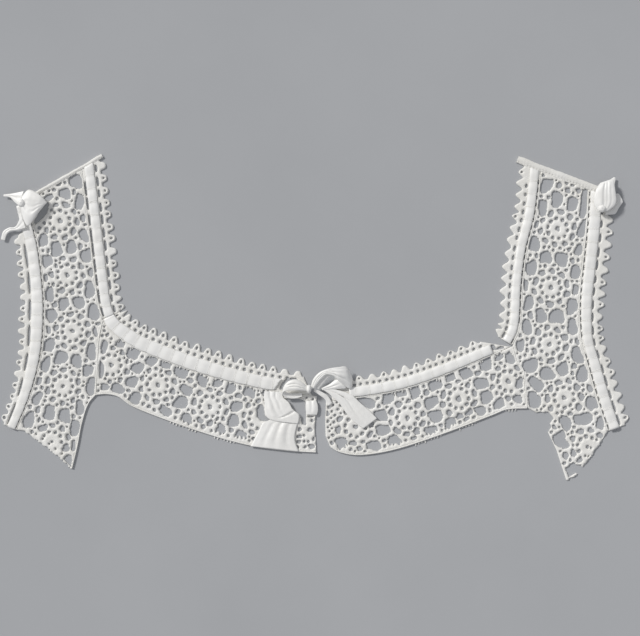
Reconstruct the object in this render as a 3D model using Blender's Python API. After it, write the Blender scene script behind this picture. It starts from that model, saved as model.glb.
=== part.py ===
"""Lace dress yoke: two shoulder straps and a front band that opens at centre front, laid flat.

Lace insertion with a wheel repeat, edged at the neck and armholes by ribbon-run beading with
picots, bound at the shoulder ends and tied with ribbon bows. Right is +X, the neck is towards
+Y, and the cloth rests on z = 0. Lengths below are millimetres unless a name ends in _px.
"""

import math
from collections import namedtuple

import bpy
from mathutils import Vector
from mathutils.geometry import delaunay_2d_cdt

# Driving dimensions
OVERALL_WIDTH = 445.0
LACE_WALL = 1.2
RIBBON_WALL = 1.0
BINDING_WALL = 1.8
SEAM = 0.3
PICOT_PITCH = 8.6
WHEEL_PITCH = 38.0
BAR = 0.9
STATION = 7.0

# The photograph's frame, in which the guide tables give where each seam lies
SPAN_PX = 636.0
CENTRE_X_PX = 315.0
CENTRE_Y_PX = 317.0
MM_PER_PX = OVERALL_WIDTH / SPAN_PX
METRE = 0.001


def table(columns, *rows):
    """A short table whose columns have names."""
    row_type = namedtuple("Row", columns)
    return [row_type(*row) for row in rows]


# Seam lines between the lace and its edgings, each from the shoulder down or from seam to
# front. Edging scales the width of the beading there
NECK_LEFT = table(
    "x_px y_px edging",
    (79.0, 150.0, 0.97), (83.0, 182.0, 0.97), (90.3, 242.0, 0.97), (95.6, 286.0, 0.96),
    (99.0, 307.0, 0.95), (106.0, 325.0, 0.95), (122.0, 339.5, 1.0), (146.0, 353.0, 1.02),
    (200.0, 373.0, 1.03), (256.0, 387.5, 0.95), (290.0, 392.5, 0.9), (317.0, 396.0, 0.9),
)
NECK_STRAP_RIGHT = table(
    "x_px y_px edging",
    (542.5, 155.0, 1.05), (536.5, 211.0, 1.05), (527.0, 250.0, 1.0), (522.5, 286.0, 1.0),
    (521.0, 315.0, 1.0), (518.0, 333.0, 1.0), (508.0, 351.0, 0.95),
)
NECK_BAND_RIGHT = table(
    "x_px y_px edging",
    (520.0, 343.0, 0.95), (492.0, 355.0, 0.95), (440.0, 377.0, 1.0), (400.0, 390.0, 1.0),
    (362.0, 397.0, 1.0), (326.0, 401.0, 1.0),
)
ARM_LEFT = table(
    "x_px y_px edging",
    (24.0, 184.0, 0.93), (29.0, 210.0, 0.93), (38.0, 245.0, 0.95), (43.3, 285.0, 1.0),
    (44.6, 316.0, 1.07), (42.0, 350.0, 1.0), (36.5, 376.0, 0.93), (28.0, 402.0, 0.82),
    (16.0, 430.0, 0.74),
)
ARM_RIGHT = table(
    "x_px y_px edging",
    (589.5, 175.0, 1.1), (587.0, 222.0, 1.1), (583.0, 262.0, 1.08), (579.3, 303.0, 1.03),
    (581.0, 339.0, 0.96), (588.0, 366.0, 1.0), (597.0, 398.0, 1.02), (608.0, 431.0, 1.0),
)
# Seams between each strap and its band, from the neck corner down
CORNER_LEFT = table("x_px y_px", (102.5, 320.0), (98.5, 340.0), (96.8, 370.0), (95.4, 394.3))
CORNER_RIGHT = table(
    "x_px y_px", (512.6, 346.4), (516.5, 361.0), (524.0, 373.0), (527.3, 407.8)
)

# Lower edges, from the seam at the strap to centre front
HEM_LEFT = table(
    "x_px y_px",
    (95.4, 394.3), (107.0, 393.6), (119.0, 396.5), (133.0, 406.0), (164.0, 418.5),
    (209.0, 434.0), (250.0, 445.0), (285.0, 450.0), (316.5, 452.0),
)
HEM_RIGHT = table(
    "x_px y_px",
    (527.3, 407.8), (507.0, 409.0), (490.0, 415.5), (444.0, 433.0), (397.0, 448.5),
    (362.0, 454.5), (341.0, 452.0), (329.8, 446.0),
)
# Inner edges of the strap tails, from the seam down to the tip
TAIL_LEFT = table(
    "x_px y_px", (95.4, 394.3), (87.5, 404.5), (81.5, 423.0), (77.0, 446.0), (71.5, 469.0)
)
TAIL_RIGHT = table(
    "x_px y_px", (527.3, 407.8), (536.0, 412.5), (545.5, 427.0), (556.5, 450.0), (566.5, 480.5)
)
# Cut ends: shoulder, tail and centre front
TAIL_END_LEFT = table("x_px y_px", (63.0, 460.0), (38.0, 440.5), (25.0, 431.0))
TAIL_END_RIGHT = table("x_px y_px", (577.0, 474.5), (590.0, 457.5), (602.0, 440.0))
FRONT_LEFT = table("x_px y_px", (316.5, 396.0), (314.8, 428.0), (316.5, 452.0))
FRONT_RIGHT = table("x_px y_px", (328.5, 401.0), (325.2, 422.0), (325.6, 436.0), (329.8, 446.0))
# Where the neck beadings are trimmed: slantwise at the left front, and at the right corner
FRONT_TRIM = table("x_px y_px", (313.5, 399.0), (299.0, 366.0))
CORNER_TRIM = table("x_px y_px", (512.8, 347.3), (487.0, 342.8))
# Where each length of beading or ribbon ends under the centre bow
BEADING_END_LEFT = table("x_px y_px", (313.0, 395.5))
BEADING_END_RIGHT = table("x_px y_px", (333.0, 400.4))
RIBBON_END_LEFT = table("x_px y_px", (279.0, 391.0))
RIBBON_END_RIGHT = table("x_px y_px", (350.0, 398.6))

Shoulder = namedtuple("Shoulder", "neck_x_px neck_y_px arm_x_px arm_y_px binding")
SHOULDER_LEFT = Shoulder(101.0, 153.5, 26.0, 196.5, 3.0)
SHOULDER_RIGHT = Shoulder(519.0, 155.5, 601.0, 186.5, 5.2)

# Wheel centres along each insertion; the first and last may lie past a cut end
WHEELS_STRAP_LEFT = table(
    "x_px y_px",
    (53.5, 167.0), (60.2, 221.1), (67.3, 275.2), (72.4, 331.2), (63.0, 386.4), (52.0, 442.0),
)
WHEELS_BAND_LEFT = table(
    "x_px y_px", (111.3, 365.2), (158.0, 385.3), (210.0, 407.0), (260.0, 418.5)
)
WHEELS_STRAP_RIGHT = table(
    "x_px y_px",
    (572.5, 174.5), (558.1, 228.8), (551.4, 287.7), (549.7, 344.6), (564.6, 397.8), (588.0, 447.0),
)
WHEELS_BAND_RIGHT = table(
    "x_px y_px", (508.4, 381.7), (459.0, 399.1), (407.8, 418.2), (355.6, 427.0)
)

# The repeat: a ring of holes round each wheel, and the gaps between two wheels, where along is
# measured from halfway between them and across from the line of centres
RING_HOLES = 10
RING_RADIUS = 11.3
RING_HOLE = 2.15
GAPS_BETWEEN = table(
    "along across half_along half_across tilt_deg",
    (0.0, 5.1, 4.6, 4.1, 6.0),
    (0.0, -5.1, 4.6, 4.1, -6.0),
    (-7.9, 14.8, 4.7, 3.0, 14.0),
    (7.9, 14.8, 4.7, 3.0, -14.0),
    (-7.9, -14.8, 4.7, 3.0, -14.0),
    (7.9, -14.8, 4.7, 3.0, 14.0),
)
GAP_NUDGES = (0.0, 0.06, 0.12)

# Odd gaps beside the bows: ovals in the straps, and a bent one by the left front
SHOULDER_GAPS = table(
    "insertion x_px y_px top_x_px top_y_px half_across",
    ("strap_left", 40.5, 207.0, 45.6, 195.6, 2.3),
    ("strap_right", 582.0, 203.5, 582.6, 191.0, 2.6),
    ("strap_right", 580.6, 229.0, 582.4, 220.4, 2.4),
)
BOW_GAP = table(
    "x_px y_px",
    (279.0, 399.4), (299.0, 398.8), (305.2, 401.0), (306.0, 411.0), (305.8, 425.0),
    (301.8, 424.0), (299.6, 414.6), (293.0, 408.2), (287.6, 402.8),
)

GAP_SIDES = 8
HOLE_SIDES = 6
SMOOTH_BELOW_DEG = 50.0

# A picot, as shares of its pitch along the edge and of its height
PICOT = table("share rise", (0.0, 0.0), (0.28, 0.72), (0.5, 1.0), (0.72, 0.72))

# Beading sections, as distances from the seam line out to the picot tips
Beading = namedtuple("Beading", "ribbon_in ribbon_out base tip")
BEADING_NECK_LEFT = Beading(1.2, 9.0, 13.4, 18.2)
BEADING_NECK_STRAP_RIGHT = Beading(1.4, 7.2, 11.2, 15.4)
BEADING_NECK_BAND_RIGHT = Beading(1.0, 7.4, 11.6, 15.6)
BEADING_ARM = Beading(1.5, 8.0, 12.8, 17.2)


def place(x_px, y_px):
    """A point of the photograph's frame, in millimetres on the table."""
    return Vector(((x_px - CENTRE_X_PX) * MM_PER_PX, (CENTRE_Y_PX - y_px) * MM_PER_PX))


def points_of(rows):
    return [place(row.x_px, row.y_px) for row in rows]


class Guide:
    """A smooth curve through a table's points, read by its length from the first."""

    STEPS = 12

    def __init__(self, rows):
        edgings = [getattr(row, "edging", 1.0) for row in rows]
        through = [Vector((*p, e)) for p, e in zip(points_of(rows), edgings)]
        ends = [2 * through[0] - through[1]] + through + [2 * through[-1] - through[-2]]
        spots = [through[0]]
        for i in range(1, len(ends) - 2):
            for step in range(1, self.STEPS + 1):
                spots.append(self.spline(ends[i - 1 : i + 3], step / self.STEPS))
        self.points = [Vector((p.x, p.y)) for p in spots]
        self.edgings = [p.z for p in spots]
        self.lengths = [0.0]
        for a, b in zip(self.points, self.points[1:]):
            self.lengths.append(self.lengths[-1] + (b - a).length)
        self.length = self.lengths[-1]

    @staticmethod
    def spline(p, t):
        """Catmull-Rom between the second and third of four points."""
        return 0.5 * (
            2 * p[1]
            + (p[2] - p[0]) * t
            + (2 * p[0] - 5 * p[1] + 4 * p[2] - p[3]) * t**2
            + (3 * p[1] - p[0] - 3 * p[2] + p[3]) * t**3
        )

    def at(self, s):
        """The point at length s, the unit direction there and the edging's scale."""
        s = min(max(s, 0.0), self.length)
        i = 0
        while i < len(self.lengths) - 2 and self.lengths[i + 1] < s:
            i += 1
        share = (s - self.lengths[i]) / (self.lengths[i + 1] - self.lengths[i])
        before = self.points[max(i - 1, 0)]
        beyond = self.points[min(i + 2, len(self.points) - 1)]
        a = self.points[i]
        b = self.points[i + 1]
        way = (b - before).normalized().lerp((beyond - a).normalized(), share).normalized()
        edging = self.edgings[i] + (self.edgings[i + 1] - self.edgings[i]) * share
        return a + (b - a) * share, way, edging

    def offset(self, s, out, side, scaled=False):
        """A point at length s, out from the curve to its left (side 1) or right (side -1)."""
        point, way, edging = self.at(s)
        return point + Vector((-way.y, way.x)) * out * side * (edging if scaled else 1.0)

    def run(self, start, stop, out, side, scaled=False):
        """An offset curve at every station between two lengths, and at both ends."""
        low = min(start, stop)
        high = max(start, stop)
        marks = [low]
        station = math.ceil((low + 1.0) / STATION)
        while station * STATION < high - 1.0:
            marks.append(station * STATION)
            station += 1
        marks.append(high)
        if stop < start:
            marks.reverse()
        return [self.offset(s, out, side, scaled) for s in marks]

    def nearest(self, point):
        """The length at which the curve passes nearest to a point."""
        return min(zip(self.points, self.lengths), key=lambda pair: (pair[0] - point).length)[1]


def side_of(point, a, b):
    """Positive where the point lies left of the line from a to b."""
    return (b.x - a.x) * (point.y - a.y) - (b.y - a.y) * (point.x - a.x)


def keep_left(outline, a, b):
    """The part of an outline that lies left of the line from a to b."""
    kept = []
    for i, point in enumerate(outline):
        after = outline[(i + 1) % len(outline)]
        here = side_of(point, a, b)
        there = side_of(after, a, b)
        if here >= 0:
            kept.append(point)
        if here * there < 0:
            kept.append(point + (after - point) * (here / (here - there)))
    return kept


def inside(point, outline):
    hits = False
    for a, b in zip(outline, outline[1:] + outline[:1]):
        if (a.y > point.y) != (b.y > point.y):
            if point.x < a.x + (b.x - a.x) * (point.y - a.y) / (b.y - a.y):
                hits = not hits
    return hits


def edge_distance(point, outline):
    best = math.inf
    for a, b in zip(outline, outline[1:] + outline[:1]):
        way = b - a
        t = min(max((point - a).dot(way) / max(way.length_squared, 1e-12), 0.0), 1.0)
        best = min(best, (point - a - way * t).length)
    return best


def area(outline):
    return 0.5 * sum(a.cross(b) for a, b in zip(outline, outline[1:] + outline[:1]))


def oval(centre, way, half_along, half_across, sides):
    """A round or oval hole whose long axis lies along way."""
    across = Vector((-way.y, way.x))
    ring = []
    for i in range(sides):
        angle = 2 * math.pi * (i + 0.5) / sides
        ring.append(centre + way * half_along * math.cos(angle) + across * half_across * math.sin(angle))
    return ring


def turned(way, degrees):
    c = math.cos(math.radians(degrees))
    s = math.sin(math.radians(degrees))
    return Vector((way.x * c - way.y * s, way.x * s + way.y * c))


def clear_of(outline, gap):
    return all(inside(p, outline) and edge_distance(p, outline) > BAR for p in gap)


def odd_gaps(insertion):
    """The gaps beside the bows that are no part of the repeat."""
    gaps = []
    for row in SHOULDER_GAPS:
        if row.insertion == insertion:
            centre = place(row.x_px, row.y_px)
            reach = place(row.top_x_px, row.top_y_px) - centre
            gaps.append(oval(centre, reach.normalized(), reach.length, row.half_across, GAP_SIDES))
    if insertion == "band_left":
        gaps.append(points_of(BOW_GAP))
    return gaps


def apart(gap, others):
    """Whether a gap keeps a bar's width from some others."""
    for other in others:
        if inside(gap[0], other) or inside(other[0], gap):
            return False
        if min(edge_distance(p, other) for p in gap) < BAR:
            return False
        if min(edge_distance(p, gap) for p in other) < BAR:
            return False
    return True


def lace_gaps(insertion, wheels, outline):
    """The repeat along a line of wheels, kept where it clears the outline by a bar's width."""
    odd = odd_gaps(insertion)
    gaps = []
    centres = points_of(wheels)
    for i, centre in enumerate(centres):
        before = centres[max(i - 1, 0)]
        after = centres[min(i + 1, len(centres) - 1)]
        way = (after - before).normalized()
        for k in range(RING_HOLES):
            spoke = turned(way, 360.0 * k / RING_HOLES)
            gaps.append(oval(centre + spoke * RING_RADIUS, spoke, RING_HOLE, RING_HOLE, HOLE_SIDES))
    for a, b in zip(centres, centres[1:]):
        way = (b - a).normalized()
        across = Vector((-way.y, way.x))
        stretch = (b - a).length / WHEEL_PITCH
        for gap in GAPS_BETWEEN:
            length = gap.half_along * stretch
            # Where the strip narrows, the gap moves in from its edge
            for nudge in GAP_NUDGES:
                off = gap.across * (1 - nudge)
                centre = (a + b) / 2 + way * gap.along * stretch + across * off
                opening = oval(centre, turned(way, gap.tilt_deg), length, gap.half_across, GAP_SIDES)
                if clear_of(outline, opening):
                    gaps.append(opening)
                    break
    return odd + [g for g in gaps if clear_of(outline, g) and apart(g, odd)]


def fabric(name, colour, roughness):
    material = bpy.data.materials.new(name)
    material.use_nodes = True
    shader = material.node_tree.nodes["Principled BSDF"]
    shader.inputs["Base Color"].default_value = (*colour, 1.0)
    shader.inputs["Roughness"].default_value = roughness
    shader.inputs["Metallic"].default_value = 0.0
    return material


def make_object(name, points, faces, material, smooth=False):
    mesh = bpy.data.meshes.new(name)
    mesh.from_pydata([tuple(p * METRE) for p in points], [], faces)
    mesh.materials.append(material)
    if smooth:
        mesh.shade_smooth()
        mesh.set_sharp_from_angle(angle=math.radians(SMOOTH_BELOW_DEG))
    piece = bpy.data.objects.new(name, mesh)
    bpy.context.scene.collection.objects.link(piece)
    return piece


def plate(name, outline, gaps, low, high, material):
    """A flat wall of an outline's shape, cut through at each gap."""
    if area(outline) < 0:
        outline = outline[::-1]
    flat = []
    edges = []
    for ring in [outline] + gaps:
        first = len(flat)
        flat += ring
        edges += [(first + i, first + (i + 1) % len(ring)) for i in range(len(ring))]
    flat, _, cells, _, _, _ = delaunay_2d_cdt(flat, edges, [], 0, 1e-5)
    boxes = [
        (min(p.x for p in g), max(p.x for p in g), min(p.y for p in g), max(p.y for p in g), g)
        for g in gaps
    ]
    kept = []
    for cell in cells:
        middle = (flat[cell[0]] + flat[cell[1]] + flat[cell[2]]) / 3
        if not inside(middle, outline):
            continue
        near = [g for x0, x1, y0, y1, g in boxes if x0 < middle.x < x1 and y0 < middle.y < y1]
        if not any(inside(middle, g) for g in near):
            kept.append(cell if area([flat[i] for i in cell]) > 0 else cell[::-1])
    count = len(flat)
    directed = {(c[i], c[(i + 1) % 3]) for c in kept for i in range(3)}
    faces = [tuple(c) for c in kept] + [tuple(count + i for i in reversed(c)) for c in kept]
    faces += [(count + a, count + b, b, a) for a, b in directed if (b, a) not in directed]
    points = [Vector((p.x, p.y, z)) for z in (high, low) for p in flat]
    return make_object(name, points, faces, material)


def shoulder_line(shoulder, inset):
    """The cut line of a shoulder end, inset into the strap, from its arm side to its neck side."""
    neck = place(shoulder.neck_x_px, shoulder.neck_y_px)
    arm = place(shoulder.arm_x_px, shoulder.arm_y_px)
    way = (neck - arm).normalized()
    down = Vector((way.y, -way.x)) if way.x > 0 else Vector((-way.y, way.x))
    return arm + down * inset, neck + down * inset


def below_shoulder(outline, shoulder):
    """An outline with its top cut along the shoulder, clear of the binding."""
    arm, neck = shoulder_line(shoulder, shoulder.binding + SEAM)
    if neck.x > arm.x:
        return keep_left(outline, neck, arm)
    return keep_left(outline, arm, neck)


def scallops(guide, start, stop, section, side):
    """The picot edge, as one rounded tooth for each pitch."""
    count = max(1, round((stop - start) / PICOT_PITCH))
    pitch = (stop - start) / count
    height = section.tip - section.base
    edge = []
    for i in range(count):
        for spot in PICOT:
            s = start + (i + spot.share) * pitch
            edge.append(guide.offset(s, section.base + spot.rise * height, side, True))
    edge.append(guide.offset(stop, section.base, side, True))
    return edge


def beading_outline(guide, start, stop, section, side):
    inner = guide.run(start, stop, SEAM / 2, side)
    return inner + scallops(guide, start, stop, section, side)[::-1]


def ribbon_outline(guide, start, stop, section, side):
    inner = guide.run(start, stop, section.ribbon_in, side, True)
    return inner + guide.run(stop, start, section.ribbon_out, side, True)


def shifted(rows, x):
    """A table's points, moved along X to leave the seam's gap."""
    return [p + Vector((x, 0.0)) for p in points_of(rows)]


# Ribbon bows: where a ribbon's section is read, as shares of its half width, and how its
# lengthwise folds rise and dip there
SECTION = table("share fold", (-1.0, 1.0), (-0.55, -0.6), (0.0, 1.0), (0.55, -0.6), (1.0, 1.0))


def strip(name, path, sides, halves, folds, wall, material):
    """A ribbon wall along a path, with lengthwise folds that ride in its surface."""
    points = []
    last = len(path) - 1
    for i, centre in enumerate(path):
        way = (path[min(i + 1, last)] - path[max(i - 1, 0)]).normalized()
        up = way.cross(sides[i]).normalized()
        upper = []
        lower = []
        for spot in SECTION:
            middle = centre + sides[i] * spot.share * halves[i] + up * folds[i] * spot.fold
            upper.append(middle + up * wall / 2)
            lower.append(middle - up * wall / 2)
        points += upper + lower[::-1]
    ring = 2 * len(SECTION)
    faces = []
    for i in range(last):
        for j in range(ring):
            k = (j + 1) % ring
            faces.append((i * ring + j, (i + 1) * ring + j, (i + 1) * ring + k, i * ring + k))
    faces.append(tuple(range(ring)))
    faces.append(tuple(last * ring + j for j in reversed(range(ring))))
    return make_object(name, points, faces, material, smooth=True)


Loop = namedtuple("Loop", "x_px y_px tip_x_px tip_y_px half_root half_tip low high")
# A loop from the side: the share of its reach, and its lift from -1 at the bottom to 1 at the top
LOOP_PROFILE = table(
    "share lift",
    (0.0, -0.55), (0.25, -0.9), (0.5, -1.0), (0.72, -1.0), (0.88, -0.8), (0.97, -0.4), (1.0, 0.0),
    (0.97, 0.4), (0.88, 0.75), (0.7, 1.0), (0.5, 1.0), (0.25, 0.8), (0.0, 0.4),
)
LOOP_FOLD = 0.45
LOOP_FULL_WIDTH = 0.8


def bow_loop(name, loop, material):
    """A ribbon loop that leaves the knot low, turns at its tip and comes back above."""
    root = place(loop.x_px, loop.y_px)
    tip = place(loop.tip_x_px, loop.tip_y_px)
    way = (tip - root).normalized()
    side = Vector((-way.y, way.x, 0.0))
    reach = (tip - root).length
    rise = (loop.high - loop.low) / 2
    path = []
    halves = []
    folds = []
    for spot in LOOP_PROFILE:
        flat = root + way * reach * spot.share
        path.append(Vector((flat.x, flat.y, loop.low + rise * (1 + spot.lift))))
        widening = min(1.0, spot.share / LOOP_FULL_WIDTH)
        halves.append(loop.half_root + (loop.half_tip - loop.half_root) * widening)
        folds.append(LOOP_FOLD * (1 - spot.share))
    return strip(name, path, [side] * len(path), halves, folds, RIBBON_WALL, material)


Tail = namedtuple("Tail", "x_px y_px z half fold")


def bow_tail(name, rows, material):
    """A ribbon end that leaves the knot gathered and spreads to its cut end."""
    flat = [place(row.x_px, row.y_px) for row in rows]
    last = len(rows) - 1
    path = [Vector((p.x, p.y, row.z)) for p, row in zip(flat, rows)]
    sides = []
    for i in range(len(rows)):
        way = (flat[min(i + 1, last)] - flat[max(i - 1, 0)]).normalized()
        sides.append(Vector((-way.y, way.x, 0.0)))
    halves = [row.half for row in rows]
    folds = [row.fold for row in rows]
    return strip(name, path, sides, halves, folds, RIBBON_WALL, material)


Knot = namedtuple("Knot", "x_px y_px half_x half_y low high")
KNOT_RINGS = table("rise size", (0.0, 0.86), (0.25, 1.0), (0.6, 0.97), (0.85, 0.74), (1.0, 0.36))
KNOT_SIDES = 12


def bow_knot(name, knot, material):
    """The ribbon wound round the middle, as a rounded lump flat beneath."""
    centre = place(knot.x_px, knot.y_px)
    sides = KNOT_SIDES
    points = []
    for ring in KNOT_RINGS:
        z = knot.low + (knot.high - knot.low) * ring.rise
        for k in range(sides):
            angle = 2 * math.pi * k / sides
            x = centre.x + knot.half_x * ring.size * math.cos(angle)
            y = centre.y + knot.half_y * ring.size * math.sin(angle)
            points.append(Vector((x, y, z)))
    faces = []
    last = len(KNOT_RINGS) - 1
    for i in range(last):
        for k in range(sides):
            n = (k + 1) % sides
            faces.append((i * sides + k, i * sides + n, (i + 1) * sides + n, (i + 1) * sides + k))
    faces.append(tuple(reversed(range(sides))))
    faces.append(tuple(last * sides + k for k in range(sides)))
    return make_object(name, points, faces, material, smooth=True)


LOOPS = {
    "bow_loop_left": Loop(304.6, 388.6, 284.4, 389.4, 3.6, 6.4, 2.3, 9.0),
    "bow_loop_right": Loop(313.2, 385.6, 352.0, 376.0, 3.8, 7.4, 2.25, 9.6),
    "shoulder_bow_left_loop": Loop(28.0, 205.5, 47.0, 211.0, 3.6, 8.6, 3.5, 8.4),
    "shoulder_bow_right_loop": Loop(600.5, 204.0, 602.5, 181.0, 3.6, 6.6, 3.5, 8.4),
}
KNOTS = {
    "bow_knot": Knot(308.8, 388.6, 2.1, 3.2, 1.6, 9.0),
    "shoulder_bow_left_knot": Knot(23.0, 203.5, 2.8, 3.2, 2.9, 9.0),
    "shoulder_bow_right_knot": Knot(600.5, 209.0, 3.2, 2.8, 2.9, 9.0),
}
TAILS = {
    "bow_tail_left": [
        Tail(272.0, 392.4, 2.2, 5.6, 0.2),
        Tail(272.6, 399.0, 2.2, 6.2, 0.2),
        Tail(279.6, 407.6, 2.2, 11.0, 0.2),
        Tail(279.8, 424.0, 2.1, 12.8, 0.15),
        Tail(273.4, 447.0, 2.1, 14.6, 0.1),
    ],
    "bow_tail_right": [
        Tail(315.6, 395.6, 2.4, 1.9, 0.3),
        Tail(325.0, 399.6, 2.4, 3.0, 0.4),
        Tail(339.0, 405.0, 2.3, 5.6, 0.3),
        Tail(355.0, 413.0, 2.1, 8.0, 0.15),
        Tail(371.0, 421.5, 2.1, 9.2, 0.1),
    ],
    "shoulder_bow_left_upper": [
        Tail(18.2, 201.5, 4.2, 2.2, 0.3),
        Tail(12.0, 197.5, 3.0, 4.0, 0.2),
        Tail(4.0, 195.0, 2.2, 1.6, 0.1),
    ],
    "shoulder_bow_left_lower": [
        Tail(20.0, 209.0, 4.4, 1.8, 0.3),
        Tail(12.5, 219.0, 3.0, 4.4, 0.2),
        Tail(5.5, 230.0, 2.2, 3.4, 0.1),
        Tail(2.2, 238.0, 2.1, 1.2, 0.1),
    ],
    "shoulder_bow_right_upper": [
        Tail(605.6, 205.0, 2.2, 1.6, 0.2),
        Tail(610.5, 193.0, 2.1, 2.8, 0.2),
        Tail(614.8, 178.5, 2.1, 1.2, 0.1),
    ],
    "shoulder_bow_right_outer": [
        Tail(606.5, 211.5, 2.2, 1.6, 0.2),
        Tail(614.0, 208.5, 2.1, 2.8, 0.2),
        Tail(622.5, 200.8, 2.1, 1.2, 0.1),
    ],
}


def bows(satin):
    """The bow at centre front and one at the outer end of each shoulder."""
    for name, loop in LOOPS.items():
        bow_loop(name, loop, satin)
    for name, knot in KNOTS.items():
        bow_knot(name, knot, satin)
    for name, rows in TAILS.items():
        bow_tail(name, rows, satin)


def straps_and_bands(cotton):
    """The four lace insertions, cut through with the wheel repeat."""
    neck = Guide(NECK_LEFT)
    arm = Guide(ARM_LEFT)
    corner = neck.nearest(points_of(CORNER_LEFT)[0])
    outline = neck.run(0.0, corner, SEAM / 2, -1)[:-1] + shifted(CORNER_LEFT, -SEAM / 2)
    outline += shifted(TAIL_LEFT[1:], 0.0) + points_of(TAIL_END_LEFT)
    outline += arm.run(arm.length, 0.0, SEAM / 2, 1)
    outline = below_shoulder(outline, SHOULDER_LEFT)
    gaps = lace_gaps("strap_left", WHEELS_STRAP_LEFT, outline)
    plate("strap_left", outline, gaps, 0.0, LACE_WALL, cotton)

    outline = neck.run(corner, neck.length, SEAM / 2, -1)[1:] + points_of(FRONT_LEFT)[1:-1]
    hem = Guide(HEM_LEFT)
    outline += hem.run(hem.length, 0.0, 0.0, 1)[:-1]
    outline += shifted(CORNER_LEFT, SEAM / 2)[::-1]
    gaps = lace_gaps("band_left", WHEELS_BAND_LEFT, outline)
    plate("band_left", outline, gaps, 0.0, LACE_WALL, cotton)

    neck = Guide(NECK_STRAP_RIGHT)
    arm = Guide(ARM_RIGHT)
    corner = neck.nearest(points_of(CORNER_RIGHT)[0])
    outline = neck.run(0.0, corner, SEAM / 2, 1)[:-1] + shifted(CORNER_RIGHT, SEAM / 2)
    outline += shifted(TAIL_RIGHT[1:], 0.0) + points_of(TAIL_END_RIGHT)
    outline += arm.run(arm.length, 0.0, SEAM / 2, -1)
    outline = below_shoulder(outline, SHOULDER_RIGHT)
    gaps = lace_gaps("strap_right", WHEELS_STRAP_RIGHT, outline)
    plate("strap_right", outline, gaps, 0.0, LACE_WALL, cotton)

    neck = Guide(NECK_BAND_RIGHT)
    corner = neck.nearest(points_of(CORNER_RIGHT)[0])
    outline = neck.run(corner + STATION, neck.length, SEAM / 2, 1) + points_of(FRONT_RIGHT)[1:-1]
    hem = Guide(HEM_RIGHT)
    outline += hem.run(hem.length, 0.0, 0.0, 1)[:-1]
    outline += shifted(CORNER_RIGHT, -SEAM / 2)[::-1]
    gaps = lace_gaps("band_right", WHEELS_BAND_RIGHT, outline)
    plate("band_right", outline, gaps, 0.0, LACE_WALL, cotton)


def edgings(cotton, satin):
    """Beading with a picot edge, and the ribbon that lies on it, in lengths between the seams."""
    corner_left = Guide(NECK_LEFT).nearest(points_of(CORNER_LEFT)[0])
    corner_right = Guide(NECK_STRAP_RIGHT).nearest(points_of(CORNER_RIGHT)[0])
    lengths = (
        ("neck_strap_left", NECK_LEFT, 1, BEADING_NECK_LEFT, 0.0, corner_left - SEAM / 2),
        ("neck_band_left", NECK_LEFT, 1, BEADING_NECK_LEFT, corner_left + SEAM / 2, None),
        ("neck_strap_right", NECK_STRAP_RIGHT, -1, BEADING_NECK_STRAP_RIGHT, 0.0, corner_right),
        ("neck_band_right", NECK_BAND_RIGHT, -1, BEADING_NECK_BAND_RIGHT, 0.0, None),
        ("arm_left", ARM_LEFT, -1, BEADING_ARM, 0.0, math.inf),
        ("arm_right", ARM_RIGHT, 1, BEADING_ARM, 0.0, math.inf),
    )
    beading_ends = {"neck_band_left": BEADING_END_LEFT, "neck_band_right": BEADING_END_RIGHT}
    ribbon_ends = {"neck_band_left": RIBBON_END_LEFT, "neck_band_right": RIBBON_END_RIGHT}
    trims = {"neck_band_left": FRONT_TRIM, "neck_band_right": CORNER_TRIM}
    low = LACE_WALL + SEAM
    for name, rows, side, section, start, stop in lengths:
        guide = Guide(rows)
        for kind, ends in (("beading", beading_ends), ("ribbon", ribbon_ends)):
            if stop is None:
                last = guide.nearest(points_of(ends[name])[0])
            else:
                last = min(stop, guide.length)
            shape = beading_outline if kind == "beading" else ribbon_outline
            outline = shape(guide, start, last, section, side)
            if "band" in name:
                outline = keep_left(outline, *points_of(trims[name]))
            else:
                outline = below_shoulder(outline, SHOULDER_LEFT if "left" in name else SHOULDER_RIGHT)
            if kind == "beading":
                plate(name + "_beading", outline, [], 0.0, LACE_WALL, cotton)
            else:
                plate(name + "_ribbon", outline, [], low, low + RIBBON_WALL, satin)


def bindings(twill):
    """A folded tape over each shoulder's cut end."""
    for hand, shoulder in (("left", SHOULDER_LEFT), ("right", SHOULDER_RIGHT)):
        upper = shoulder_line(shoulder, 0.0)
        lower = shoulder_line(shoulder, shoulder.binding)
        outline = [upper[0], upper[1], lower[1], lower[0]]
        plate("shoulder_binding_" + hand, outline, [], 0.0, BINDING_WALL, twill)


def main():
    for leftover in list(bpy.data.objects):
        bpy.data.objects.remove(leftover)
    cotton = fabric("lace", (0.93, 0.92, 0.89), 0.85)
    satin = fabric("ribbon", (0.95, 0.94, 0.92), 0.42)
    twill = fabric("binding", (0.92, 0.91, 0.88), 0.7)
    straps_and_bands(cotton)
    edgings(cotton, satin)
    bindings(twill)
    bows(satin)


main()
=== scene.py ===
"""Looks for the lace dress yoke, laid flat on a pale table and seen from straight above.

The lace is cut from smooth many-sided holes with rounded bars, its edgings have picots and
slots, and satin ribbon runs along them into bows. Lengths are millimetres until a mesh is made,
apart from names that end in _px. Flat sizes worked out for pieces, materials and the stage are in metres.
"""

import math
import random
from collections import namedtuple

import bpy
import numpy as np
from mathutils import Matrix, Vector, noise
from mathutils.geometry import delaunay_2d_cdt
from mathutils.kdtree import KDTree


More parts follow.
